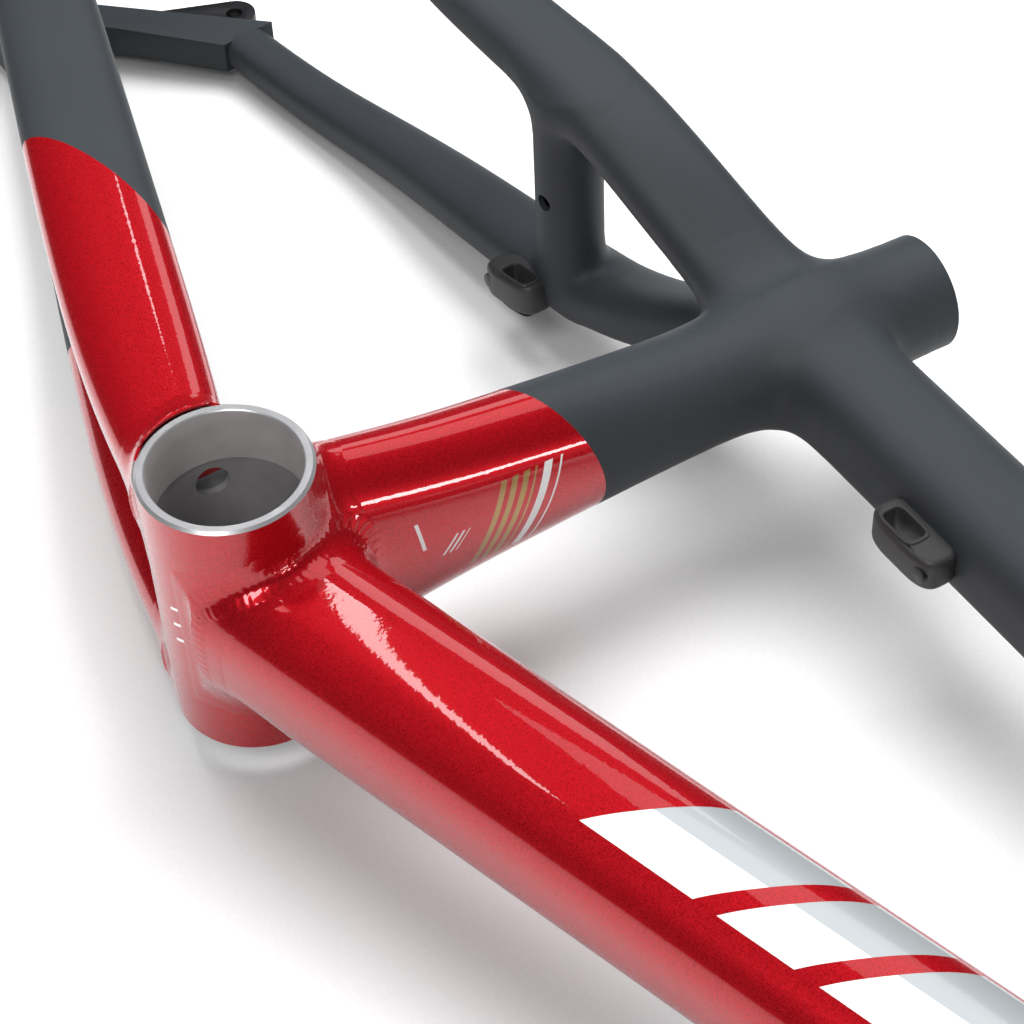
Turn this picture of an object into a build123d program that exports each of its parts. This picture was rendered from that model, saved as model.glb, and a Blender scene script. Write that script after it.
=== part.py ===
from build123d import *
import math
import os

os.makedirs("parts", exist_ok=True)

# A BMX race frame with disc brake mount and sliding rear axle blocks.
# Millimetres and degrees. The origin is the centre of the bottom bracket
# shell, +X points forward, +Y to the rider's left, +Z up.

# Bottom bracket shell
BB_LENGTH = 86.5
BB_OUTER_R = 23.4
BB_BORE_R = 20.5
BB_SEAT_DEPTH = 18.0
BB_RELIEF = 0.4
BB_CHAMFER = 0.8
BB_VENT_R = 4.8
BB_VENT_DROP = 10.7

# Seat tube
SEAT_ANGLE = 71.5
SEAT_TUBE_TOP = 220.6
SEAT_TUBE_R = 17.4
SEATPOST_R = 15.8
SEAT_TUBE_WALL = 1.6
SEAT_TUBE_FLARE_HALF = 38.0
SEAT_TUBE_FLARE_DEPTH_HALF = 18.5
SEAT_TUBE_FLARE_MID_SHARE = 0.34
SEAT_TUBE_ROUND_FROM = 150.0
SEAT_SLOT_WIDTH = 3.0
SEAT_SLOT_LENGTH = 28.0

# Top tube
TOP_TUBE_ANGLE = 20.9
TOP_TUBE_RISE = 176.85
TOP_TUBE_HEIGHT = 33.2
TOP_TUBE_WIDTH = 32.5
TOP_TUBE_CORNER = 12.0
TOP_TUBE_WALL = 1.5

# Down tube
DOWN_TUBE_ANGLE = 37.7
DOWN_TUBE_DROP = 2.45
DOWN_TUBE_START_SHARE = 0.4
DOWN_TUBE_HEIGHT = 47.0
DOWN_TUBE_WIDTH = 45.0
DOWN_TUBE_FRONT_HEIGHT = 42.0
DOWN_TUBE_FRONT_WIDTH = 38.0
DOWN_TUBE_CORNER = 17.0
DOWN_TUBE_WALL = 1.5

# Head tube
HEAD_ANGLE = 74.0
HEAD_LENGTH = 112.0
HEAD_CENTRE_X = 390.0
HEAD_CENTRE_Z = 318.0
HEAD_MID_R = 22.5
HEAD_TOP_R = 25.0
HEAD_BOTTOM_R = 30.5
HEAD_TOP_SEAT_R = 20.97
HEAD_TOP_SEAT_DEPTH = 7.0
HEAD_BOTTOM_SEAT_R = 26.02
HEAD_BOTTOM_SEAT_DEPTH = 8.0
HEAD_INNER_R = 18.6
HEAD_BOTTOM_CUP = 10.0
HEAD_TAPER_TOP = 34.0
HEAD_TAPER_FLARE = 2.5
HEAD_STRAIGHT_FROM = 52.0
HEAD_TOP_CUP = 12.0
HEAD_TOP_CONE = 10.0
HEAD_BOTTOM_STEP = 3.5
HEAD_BORE_NARROW_FROM = 40.0

# Chainstays: (share of the run, share of the spread, height, width)
STAY_WALL = 1.5
CHAINSTAY_ROOT_DROP = 10.5
CHAINSTAY_ROOT_Y = 31.0
CHAINSTAY_DROP_EARLY = 3.5
CHAINSTAY_EARLY_SHARE = 1 / 3
CHAINSTAY_CORNER_SHARE = 0.42
CHAINSTAY_SHAPE = [
    (0.0, 0.0, 28.0, 20.0),
    (0.11, 0.03, 33.0, 20.0),
    (0.33, 0.22, 34.5, 18.5),
    (0.60, 0.55, 31.0, 17.0),
    (1.0, 1.0, 24.0, 14.0),
]

# Seatstays: (share of the run, share of the spread, share of the fall, height, width)
SEATSTAY_RISE = 177.5
SEATSTAY_ROOT_BACK = 1.0
SEATSTAY_CORNER_SHARE = 0.4
SEATSTAY_SHAPE = [
    (0.0, 0.07, 0.0, 30.0, 19.0),
    (0.065, 0.17, 0.07, 30.0, 19.0),
    (0.16, 0.39, 0.18, 29.5, 19.0),
    (0.277, 0.60, 0.30, 28.5, 18.5),
    (0.41, 0.69, 0.43, 26.5, 18.0),
    (0.545, 0.76, 0.555, 24.5, 17.0),
    (0.70, 0.89, 0.69, 21.5, 16.0),
    (0.854, 0.975, 0.85, 18.5, 15.0),
    (1.0, 1.0, 1.0, 17.0, 14.0),
]

# Seatstay bridge, between the fourth and fifth sections of the stays
BRIDGE_SHARE = 0.29
BRIDGE_BELOW = 4.7
BRIDGE_R = 10.7
BRIDGE_WALL = 2.0
BRIDGE_HOLE_R = 2.75
BRIDGE_HOLE_TILT = 30.0

# Rear end
HUB_SPACING = 110.0
CHAINSTAY_END_AHEAD = 28.0
CHAINSTAY_END_UP = 4.0
SEATSTAY_END_AHEAD = 38.0
SEATSTAY_END_UP = 79.0
SOCKET_UPPER_HALF = 12.0
SOCKET_LOWER_HALF = 9.5
CHAINSTAY_LENGTH = 371.1
AXLE_DROP = 48.0
AXLE_R = 7.5
AXLE_TRAVEL = 12.0
DROPOUT_THICKNESS = 8.0
DROPOUT_ARM_THICKNESS = 12.0
SLOT_HALF_HEIGHT = 12.0
RAIL_HEIGHT = 9.0
SLIDER_FLANGE = 2.0
SLIDER_FLANGE_LAP = 3.0
SLIDER_FRONT = 12.0
SLIDER_REAR = 28.5
SLIDER_CLEARANCE = 0.2
SLIDER_END_GAP = 0.3
SLIDER_CORNER = 2.0
SLIDER_FLANGE_CORNER = 3.0

# Dropout arms: corners as (ahead of the slot, above the rails)
RAIL_ROOT = 10.0
SLOT_RUN_OUT = 10.0
ARM_ROOT_AHEAD = 3.0
ARM_ROOT_DROP = 2.0
LOWER_ARM_ROOT_RISE = 3.0
LOWER_ARM_INNER_UP = 6.0
UPPER_ARM_OUTER = (14.0, 24.0)
UPPER_ARM_INNER = (23.0, 12.0)
ARM_CROTCH_AHEAD = 18.0

# Axle adjusters
ADJUSTER_R = 2.95
ADJUSTER_FIT = 0.05
ADJUSTER_ENGAGEMENT = 7.0
ADJUSTER_HEAD_AF = 10.0
ADJUSTER_HEAD_LENGTH = 6.0
ADJUSTER_SOCKET_AF = 4.0
ADJUSTER_SOCKET_DEPTH = 3.5
CLIP_R = 5.2
CLIP_THICKNESS = 1.0
CLIP_GAP = 0.3
END_CAP_THICKNESS = 7.0
CAP_BOLT_R = 2.0
CAP_BOLT_HEAD_R = 3.5
CAP_BOLT_HEAD = 4.0
CAP_BOLT_LENGTH = 20.0
CAP_BOLT_SOCKET_R = 1.7
CAP_BOLT_SOCKET_DEPTH = 2.2
END_CAP_CORNER = 1.5

# Disc brake mount
DISC_PLATE = 5.0
DISC_HOLE_SPACING = 51.0
DISC_HOLE_R = 3.1
DISC_BOSS_R = 8.0
DISC_ARM_FORWARD = 19.1
DISC_LOWER_HOLE_UP = 26.0
DISC_AXLE_HOLE_R = 9.0
DISC_BOLT_R = 2.0
DISC_BOLT_BACK = 16.0
DISC_BOLT_UP = 7.6
DISC_BOLT_HEAD_R = 3.6
DISC_BOLT_HEAD = 2.4
DISC_BOLT_SOCKET_R = 1.5
DISC_BOLT_SOCKET_DEPTH = 1.6
DISC_BOLT_TIP_BACK = 2.0
DISC_PAD_CORNER = 4.0
DISC_ARM_FOOT_UP = 2.0
DISC_ARM_FOOT_BACK = 14.0
DISC_ARM_KNEE_BACK = 8.0
DISC_ARM_KNEE_UP = 6.0
DISC_WINDOW_LENGTH = 26.0
DISC_WINDOW_WIDTH = 7.0

# Hose guides
GUIDE_LENGTH = 27.0
GUIDE_HEIGHT = 10.5
GUIDE_WIDTH = 12.0
GUIDE_SLOT_LENGTH = 12.0
GUIDE_SLOT_HEIGHT = 6.2
GUIDE_CORNER = 4.5
GUIDE_SLOT_CORNER = 1.5
GUIDE_SLOT_BACK_SHARE = 1 / 9
GUIDE_ALONG_TOP_TUBE = 80.0
STAY_GUIDE_SHARE = 0.6
STAY_GUIDE_LENGTH = 24.0
GUIDE_SCREW_R = 1.5
GUIDE_SCREW_HEAD_R = 2.6
GUIDE_SCREW_HEAD = 1.6
GUIDE_SCREW_SUNK = 2.0
GUIDE_SCREW_EDGE = 1.4
GUIDE_SCREW_GRIP = 1.5


def direction(angle):
    """Unit vector in the middle plane, at an angle above +X."""
    return Vector(math.cos(math.radians(angle)), 0, math.sin(math.radians(angle)))


def section_plane(point, along):
    """Plane across a tube: local x is sideways, local y is up the section."""
    along = Vector(*along).normalized()
    sideways = Vector(0, 0, 1).cross(along).normalized()
    return Plane(origin=point, x_dir=sideways, z_dir=along)


def rounded(width, height, corner):
    return RectangleRounded(width, height, min(corner, 0.49 * min(width, height)))


def tube(stations, wall):
    """Outer solid and bore of a tube lofted through
    (point, along, width, height, corner) stations."""
    outer = []
    inner = []
    for point, along, width, height, corner in stations:
        plane = section_plane(point, along)
        outer.append(plane * rounded(width, height, corner))
        slim = (width - 2 * wall, height - 2 * wall, corner - wall)
        inner.append(plane * rounded(*slim))
    return loft(outer), loft(inner)


def rod(start, along, length, radius):
    along = Vector(*along).normalized()
    plane = Plane(origin=start, z_dir=along)
    return plane * Cylinder(radius, length, align=(Align.CENTER, Align.CENTER, Align.MIN))


def side_sketch(y):
    """Plane facing the right side: local x is +X and local y is +Z."""
    return Plane(origin=(0, y, 0), x_dir=(1, 0, 0), z_dir=(0, -1, 0))


def slab(outline, y_low, y_high):
    """Extrude an outline drawn in X and Z from y_low to y_high."""
    return extrude(side_sketch(y_low) * outline, amount=-(y_high - y_low))


def save(node, shape):
    export_step(shape, f"parts/{node}.step")


def save_pair(node, left):
    save(f"{node}_left", left)
    save(f"{node}_right", mirror(left, about=Plane.XZ))


seat_axis = direction(180 - SEAT_ANGLE)
top_axis = direction(TOP_TUBE_ANGLE)
down_axis = direction(DOWN_TUBE_ANGLE)
head_axis = direction(180 - HEAD_ANGLE)
down_normal = direction(DOWN_TUBE_ANGLE + 90)

# ---------------------------------------------------------------- shell
bb_solid = rod((0, -BB_LENGTH / 2, 0), (0, 1, 0), BB_LENGTH, BB_OUTER_R)
bb_shell = chamfer(bb_solid.edges().filter_by(GeomType.CIRCLE), BB_CHAMFER)
bb_shell -= rod((0, -BB_LENGTH / 2, 0), (0, 1, 0), BB_LENGTH, BB_BORE_R)
relief_length = BB_LENGTH - 2 * BB_SEAT_DEPTH
bb_shell -= rod((0, -relief_length / 2, 0), (0, 1, 0), relief_length, BB_BORE_R + BB_RELIEF)
vent_y = BB_SEAT_DEPTH
vent_along = direction(180 + BB_VENT_DROP)
for side in (-1, 1):
    bb_shell -= rod((0, side * vent_y, 0), vent_along, 2 * BB_OUTER_R, BB_VENT_R)

# ------------------------------------------------------------ seat tube
flare_start = seat_axis * (BB_OUTER_R / 2)
flare_mid = seat_axis * ((BB_OUTER_R + SEAT_TUBE_ROUND_FROM) / 2)
round_start = seat_axis * SEAT_TUBE_ROUND_FROM


def seat_section(point, half_width, half_depth):
    return section_plane(point, seat_axis) * Ellipse(half_width, half_depth)


flare_mid_half = SEAT_TUBE_R + SEAT_TUBE_FLARE_MID_SHARE * (SEAT_TUBE_FLARE_HALF - SEAT_TUBE_R)
flare_sizes = [
    (flare_start, SEAT_TUBE_FLARE_HALF, SEAT_TUBE_FLARE_DEPTH_HALF),
    (flare_mid, flare_mid_half, SEAT_TUBE_R),
    (round_start, SEAT_TUBE_R, SEAT_TUBE_R),
]
seat_lower = loft([seat_section(*size) for size in flare_sizes])
seat_lower_bore = loft(
    [seat_section(p, w - SEAT_TUBE_WALL, d - SEAT_TUBE_WALL) for p, w, d in flare_sizes]
)
seat_upper = rod(round_start, seat_axis, SEAT_TUBE_TOP - SEAT_TUBE_ROUND_FROM, SEAT_TUBE_R)
seat_solid = seat_lower + seat_upper
seat_tube = seat_solid - seat_lower_bore
seat_tube -= rod(round_start, seat_axis, SEAT_TUBE_TOP - SEAT_TUBE_ROUND_FROM, SEATPOST_R)
seat_tube -= bb_solid
slot_plane = Plane(origin=seat_axis * SEAT_TUBE_TOP, x_dir=(0, 1, 0), z_dir=seat_axis)
slot_cut = slot_plane * Pos(0, SEAT_TUBE_R / 2, -SEAT_SLOT_LENGTH / 2) * Box(
    SEAT_SLOT_WIDTH, SEAT_TUBE_R * 1.2, SEAT_SLOT_LENGTH
)
slot_end = seat_axis * (SEAT_TUBE_TOP - SEAT_SLOT_LENGTH)
seat_back = direction(270 - SEAT_ANGLE)
seat_tube -= slot_cut
seat_tube -= rod(slot_end, seat_back, 1.2 * SEAT_TUBE_R, SEAT_SLOT_WIDTH)

# ------------------------------------------------------------ head tube
head_centre = Vector(HEAD_CENTRE_X, 0, HEAD_CENTRE_Z)
half = HEAD_LENGTH / 2


def turned(outline):
    """Solid of revolution about the steering axis, from (radius, height) points."""
    profile = make_face(Polyline(*outline, close=True))
    forward = Vector(0, 1, 0).cross(head_axis)
    cross_section = Plane(origin=head_centre, x_dir=(0, 1, 0), z_dir=forward)
    return revolve(cross_section * profile, axis=Axis(head_centre, head_axis))


head_outline = [
    (0, -half),
    (HEAD_BOTTOM_R, -half),
    (HEAD_BOTTOM_R, -half + HEAD_BOTTOM_CUP),
    (HEAD_MID_R + HEAD_TAPER_FLARE, -half + HEAD_TAPER_TOP),
    (HEAD_MID_R, -half + HEAD_STRAIGHT_FROM),
    (HEAD_MID_R, half - HEAD_TOP_CUP - HEAD_TOP_CONE),
    (HEAD_TOP_R, half - HEAD_TOP_CUP),
    (HEAD_TOP_R, half),
    (0, half),
]
head_bore_outline = [
    (0, -half),
    (HEAD_BOTTOM_SEAT_R, -half),
    (HEAD_BOTTOM_SEAT_R, -half + HEAD_BOTTOM_SEAT_DEPTH),
    (HEAD_BOTTOM_SEAT_R - HEAD_BOTTOM_STEP, -half + HEAD_BOTTOM_SEAT_DEPTH + HEAD_BOTTOM_STEP),
    (HEAD_INNER_R, -half + HEAD_BORE_NARROW_FROM),
    (HEAD_INNER_R, half - HEAD_TOP_SEAT_DEPTH - (HEAD_TOP_SEAT_R - HEAD_INNER_R)),
    (HEAD_TOP_SEAT_R, half - HEAD_TOP_SEAT_DEPTH),
    (HEAD_TOP_SEAT_R, half),
    (0, half),
]
head_solid = turned(head_outline)
head_tube = head_solid - turned(head_bore_outline)

# ------------------------------------------------------------ down tube
# The axis stands DOWN_TUBE_DROP below the shell's centre.
down_start = down_normal * -DOWN_TUBE_DROP + down_axis * (DOWN_TUBE_START_SHARE * BB_OUTER_R)
down_length = (HEAD_CENTRE_X - down_start.X) / down_axis.X
down_stations = [
    (down_start, down_axis, DOWN_TUBE_WIDTH, DOWN_TUBE_HEIGHT, DOWN_TUBE_CORNER),
    (
        down_start + down_axis * down_length,
        down_axis,
        DOWN_TUBE_FRONT_WIDTH,
        DOWN_TUBE_FRONT_HEIGHT,
        DOWN_TUBE_CORNER,
    ),
]
down_solid, down_bore = tube(down_stations, DOWN_TUBE_WALL)
down_tube = down_solid - down_bore - bb_solid - seat_solid - head_solid

# ------------------------------------------------------------- top tube
top_start = seat_axis * TOP_TUBE_RISE
top_length = (HEAD_CENTRE_X - top_start.X) / top_axis.X
top_size = (TOP_TUBE_WIDTH, TOP_TUBE_HEIGHT, TOP_TUBE_CORNER)
top_stations = [
    (top_start, top_axis, *top_size),
    (top_start + top_axis * top_length, top_axis, *top_size),
]
top_solid, top_bore = tube(top_stations, TOP_TUBE_WALL)
top_tube = top_solid - top_bore - seat_solid - head_solid - down_solid

# ------------------------------------------------------------- rear end
axle_x = -math.sqrt(CHAINSTAY_LENGTH**2 - AXLE_DROP**2)
axle_z = -AXLE_DROP
inner_y = HUB_SPACING / 2
plate_low = inner_y + SLIDER_FLANGE
plate_high = plate_low + DROPOUT_THICKNESS
outer_y = plate_high + SLIDER_FLANGE
plate_mid = (plate_low + plate_high) / 2
slot_front = axle_x + SLIDER_FRONT + SLIDER_END_GAP
slot_rear = axle_x - SLIDER_REAR - AXLE_TRAVEL - SLIDER_END_GAP
rail_top = SLOT_HALF_HEIGHT + RAIL_HEIGHT
chainstay_end = Vector(slot_front + CHAINSTAY_END_AHEAD, plate_mid, axle_z + CHAINSTAY_END_UP)
seatstay_end = Vector(slot_front + SEATSTAY_END_AHEAD, plate_mid, axle_z + SEATSTAY_END_UP)


def between(start, end, share):
    return start + (end - start) * share


def stay_stations(path, sizes, corner_share):
    """Sections along a curved stay, each turned to face its neighbours."""
    stations = []
    for i, (point, (height, width)) in enumerate(zip(path, sizes)):
        before = path[max(i - 1, 0)]
        after = path[min(i + 1, len(path) - 1)]
        stations.append((point, after - before, width, height, corner_share * width))
    return stations


# ----------------------------------------------------------- chainstays
chain_root = Vector(-BB_OUTER_R / 3, CHAINSTAY_ROOT_Y, -CHAINSTAY_ROOT_DROP)
chain_path = []
for run, spread, height, width in CHAINSTAY_SHAPE:
    x = between(chain_root.X, chainstay_end.X, run)
    y = between(chain_root.Y, chainstay_end.Y, spread)
    early_part = min(1.0, run / CHAINSTAY_EARLY_SHARE)
    early = CHAINSTAY_DROP_EARLY * math.sin(math.pi * early_part / 2) * (1 - run)
    chain_path.append(Vector(x, y, between(chain_root.Z, chainstay_end.Z, run) - early))
chain_sizes = [shape[2:] for shape in CHAINSTAY_SHAPE]
chain_stations = stay_stations(chain_path, chain_sizes, CHAINSTAY_CORNER_SHARE)
chain_solid, chain_bore = tube(chain_stations, STAY_WALL)
chainstay = chain_solid - chain_bore - bb_solid - seat_solid

# ------------------------------------------------------------ seatstays
stay_root = seat_axis * SEATSTAY_RISE - Vector(SEATSTAY_ROOT_BACK, 0, 0)
stay_path = []
for run, spread, fall, height, width in SEATSTAY_SHAPE:
    x = between(stay_root.X, seatstay_end.X, run)
    y = between(0, seatstay_end.Y, spread)
    stay_path.append(Vector(x, y, between(stay_root.Z, seatstay_end.Z, fall)))
stay_sizes = [shape[3:] for shape in SEATSTAY_SHAPE]
stay_sections = stay_stations(stay_path, stay_sizes, SEATSTAY_CORNER_SHARE)
stay_solid, stay_bore = tube(stay_sections, STAY_WALL)
stay_solid = split(stay_solid, bisect_by=Plane.XZ, keep=Keep.BOTTOM)
seatstay = stay_solid - stay_bore - seat_solid

# --------------------------------------------------------------- bridge
bridge_at = between(stay_path[3], stay_path[4], BRIDGE_SHARE)
bridge_centre = Vector(bridge_at.X, 0, bridge_at.Z - BRIDGE_BELOW)
bridge_start = bridge_centre - Vector(0, bridge_at.Y, 0)
bridge_solid = rod(bridge_start, (0, 1, 0), 2 * bridge_at.Y, BRIDGE_R)
bridge = bridge_solid - rod(bridge_start, (0, 1, 0), 2 * bridge_at.Y, BRIDGE_R - BRIDGE_WALL)
bridge -= stay_solid
bridge -= mirror(stay_solid, about=Plane.XZ)
hole_along = direction(270 + BRIDGE_HOLE_TILT)
bridge -= rod(bridge_centre, hole_along, 2 * BRIDGE_R, BRIDGE_HOLE_R)

# ------------------------------------------------------------- dropouts
rail_front = slot_front + RAIL_ROOT
rail_block = Pos((rail_front + slot_rear) / 2, axle_z) * Rectangle(rail_front - slot_rear, 2 * rail_top)
slot_mouth = slot_rear - SLOT_RUN_OUT
slider_slot = Pos((slot_front + slot_mouth) / 2, axle_z) * RectangleRounded(
    slot_front - slot_mouth, 2 * SLOT_HALF_HEIGHT, SLIDER_CORNER / 2
)
plate = slab(rail_block, plate_low, plate_high)
arm_low = plate_mid - DROPOUT_ARM_THICKNESS / 2
arm_high = plate_mid + DROPOUT_ARM_THICKNESS / 2
chain_end_half = CHAINSTAY_SHAPE[-1][2] / 2


def across(path):
    """Unit vector across a stay's end, in the plane of the dropout."""
    along = path[-1] - path[-2]
    return Vector(along.Z, 0, -along.X).normalized()


def flat(point):
    return (point.X, point.Z)


def above_rails(corner):
    ahead, up = corner
    return (slot_front + ahead, axle_z + rail_top + up)


stay_up = across(stay_path)
chain_up = across(chain_path)
arm_root = slot_front + ARM_ROOT_AHEAD
crotch = slot_front + ARM_CROTCH_AHEAD
upper_arm = Polyline(
    (arm_root, axle_z),
    (arm_root, axle_z + rail_top - ARM_ROOT_DROP),
    above_rails(UPPER_ARM_OUTER),
    flat(seatstay_end + stay_up * SOCKET_UPPER_HALF),
    flat(seatstay_end - stay_up * SOCKET_LOWER_HALF),
    above_rails(UPPER_ARM_INNER),
    (crotch, axle_z + rail_top),
    (crotch, axle_z),
    close=True,
)
lower_arm = Polyline(
    (arm_root, axle_z - rail_top + LOWER_ARM_ROOT_RISE),
    (arm_root, axle_z + LOWER_ARM_INNER_UP),
    (crotch, axle_z + rail_top),
    flat(chainstay_end + chain_up * chain_end_half),
    flat(chainstay_end - chain_up * chain_end_half),
    close=True,
)
arms = slab(make_face(upper_arm), arm_low, arm_high)
arms += slab(make_face(lower_arm), arm_low, arm_high)
dropout = plate + arms - slab(slider_slot, inner_y, outer_y)
cap_bolt_z = SLOT_HALF_HEIGHT + RAIL_HEIGHT / 2
cap_rear = slot_rear - END_CAP_THICKNESS
for side in (-1, 1):
    hole_start = (cap_rear, plate_mid, axle_z + side * cap_bolt_z)
    dropout -= rod(hole_start, (1, 0, 0), CAP_BOLT_LENGTH, CAP_BOLT_R)
dropout -= stay_solid
dropout -= chain_solid

# -------------------------------------------------------------- sliders
slider_x = axle_x + (SLIDER_FRONT - SLIDER_REAR) / 2
slider_long = SLIDER_FRONT + SLIDER_REAR
web_half = SLOT_HALF_HEIGHT - SLIDER_CLEARANCE
flange_half = SLOT_HALF_HEIGHT + SLIDER_FLANGE_LAP
web = Pos(slider_x, axle_z) * RectangleRounded(slider_long, 2 * web_half, SLIDER_CORNER)
flange = Pos(slider_x, axle_z) * RectangleRounded(slider_long, 2 * flange_half, SLIDER_FLANGE_CORNER)
slider = slab(web, inner_y, outer_y)
slider += slab(flange, inner_y, plate_low - SLIDER_CLEARANCE)
slider += slab(flange, plate_high + SLIDER_CLEARANCE, outer_y)
slider -= rod((axle_x, inner_y, axle_z), (0, 1, 0), outer_y - inner_y, AXLE_R)
slider_rear = axle_x - SLIDER_REAR
thread_depth = ADJUSTER_ENGAGEMENT + AXLE_TRAVEL + SLIDER_END_GAP
thread_mouth = (slider_rear, plate_mid, axle_z)
slider -= rod(thread_mouth, (1, 0, 0), thread_depth, ADJUSTER_R + ADJUSTER_FIT)
slider_left = slider
disc_bolt_x = axle_x - DISC_BOLT_BACK
for side in (-1, 1):
    bolt_start = (disc_bolt_x, inner_y + DISC_BOLT_TIP_BACK, axle_z + side * DISC_BOLT_UP)
    slider_left = slider_left - rod(bolt_start, (0, 1, 0), outer_y, DISC_BOLT_R)

# ------------------------------------------------------ adjuster screws
screw_tip = slider_rear + ADJUSTER_ENGAGEMENT
head_front = cap_rear - SLIDER_END_GAP
screw = rod((head_front, plate_mid, axle_z), (1, 0, 0), screw_tip - head_front, ADJUSTER_R)
head_plane_x = Plane(origin=(head_front, plate_mid, axle_z), x_dir=(0, 1, 0), z_dir=(-1, 0, 0))
hex_radius = ADJUSTER_HEAD_AF / math.sqrt(3)
screw_head = extrude(head_plane_x * RegularPolygon(hex_radius, 6), amount=ADJUSTER_HEAD_LENGTH)
socket_radius = ADJUSTER_SOCKET_AF / math.sqrt(3)
socket_plane = head_plane_x.offset(ADJUSTER_HEAD_LENGTH)
socket = extrude(socket_plane * RegularPolygon(socket_radius, 6), amount=-ADJUSTER_SOCKET_DEPTH)
screw = screw + screw_head - socket
clip_front = slot_rear - CLIP_GAP
clip_rear = clip_front - CLIP_THICKNESS
clip = rod((clip_rear, plate_mid, axle_z), (1, 0, 0), CLIP_THICKNESS, CLIP_R)
clip -= rod((clip_rear, plate_mid, axle_z), (1, 0, 0), CLIP_THICKNESS, ADJUSTER_R)

# ------------------------------------------------------------- end caps
cap_outline = Pos((slot_rear + cap_rear) / 2, axle_z) * RectangleRounded(
    END_CAP_THICKNESS, 2 * rail_top, END_CAP_CORNER
)
end_cap = slab(cap_outline, plate_low, plate_high)
end_cap -= rod((cap_rear, plate_mid, axle_z), (1, 0, 0), END_CAP_THICKNESS, ADJUSTER_R + ADJUSTER_FIT)
recess_depth = CLIP_THICKNESS + 2 * CLIP_GAP
recess_start = (slot_rear - recess_depth, plate_mid, axle_z)
end_cap -= rod(recess_start, (1, 0, 0), recess_depth, CLIP_R + CLIP_GAP)
cap_bolts = []
for side in (-1, 1):
    bolt_z = axle_z + side * cap_bolt_z
    end_cap -= rod((cap_rear, plate_mid, bolt_z), (1, 0, 0), END_CAP_THICKNESS, CAP_BOLT_R)
    bolt = rod((cap_rear, plate_mid, bolt_z), (1, 0, 0), CAP_BOLT_LENGTH, CAP_BOLT_R)
    bolt += rod((cap_rear, plate_mid, bolt_z), (-1, 0, 0), CAP_BOLT_HEAD, CAP_BOLT_HEAD_R)
    head_end = (cap_rear - CAP_BOLT_HEAD, plate_mid, bolt_z)
    bolt_end = Plane(origin=head_end, x_dir=(0, 1, 0), z_dir=(-1, 0, 0))
    bolt -= extrude(bolt_end * RegularPolygon(CAP_BOLT_SOCKET_R, 6), amount=-CAP_BOLT_SOCKET_DEPTH)
    cap_bolts.append(bolt)

# ----------------------------------------------------------- disc mount
disc_x = axle_x + DISC_ARM_FORWARD
disc_low = axle_z + DISC_LOWER_HOLE_UP
disc_high = disc_low + DISC_HOLE_SPACING
disc_pad = Pos(slider_x, axle_z) * RectangleRounded(slider_long, 2 * flange_half, DISC_PAD_CORNER)
disc_arm = Polyline(
    (axle_x - DISC_ARM_FOOT_BACK, axle_z + DISC_ARM_FOOT_UP),
    (axle_x - DISC_ARM_KNEE_BACK, axle_z + flange_half + DISC_ARM_KNEE_UP),
    (disc_x - DISC_BOSS_R, disc_low),
    (disc_x - DISC_BOSS_R, disc_high),
    (disc_x + DISC_BOSS_R, disc_high),
    (disc_x + DISC_BOSS_R, disc_low),
    (axle_x + SLIDER_FRONT, axle_z + DISC_ARM_FOOT_UP),
    close=True,
)
disc_outline = disc_pad + make_face(disc_arm)
for hole_z in (disc_low, disc_high):
    disc_outline += Pos(disc_x, hole_z) * Circle(DISC_BOSS_R)
window = SlotOverall(DISC_WINDOW_LENGTH, DISC_WINDOW_WIDTH, rotation=90)
disc_outline -= Pos(disc_x, (disc_low + disc_high) / 2) * window
for hole_z in (disc_low, disc_high):
    disc_outline -= Pos(disc_x, hole_z) * Circle(DISC_HOLE_R)
disc_outline -= Pos(axle_x, axle_z) * Circle(DISC_AXLE_HOLE_R)
for side in (-1, 1):
    disc_outline -= Pos(disc_bolt_x, axle_z + side * DISC_BOLT_UP) * Circle(DISC_BOLT_R)
disc_mount = slab(disc_outline, outer_y, outer_y + DISC_PLATE)
disc_bolts = []
disc_face = outer_y + DISC_PLATE
bolt_tip = inner_y + DISC_BOLT_TIP_BACK
for side in (-1, 1):
    bolt_z = axle_z + side * DISC_BOLT_UP
    bolt_start = (disc_bolt_x, bolt_tip, bolt_z)
    bolt = rod(bolt_start, (0, 1, 0), disc_face - bolt_tip, DISC_BOLT_R)
    bolt += rod((disc_bolt_x, disc_face, bolt_z), (0, 1, 0), DISC_BOLT_HEAD, DISC_BOLT_HEAD_R)
    bolt_end = side_sketch(disc_face + DISC_BOLT_HEAD)
    bolt_socket = bolt_end * Pos(disc_bolt_x, bolt_z) * RegularPolygon(DISC_BOLT_SOCKET_R, 6)
    bolt -= extrude(bolt_socket, amount=DISC_BOLT_SOCKET_DEPTH)
    disc_bolts.append(bolt)

# ---------------------------------------------------------- hose guides


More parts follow.
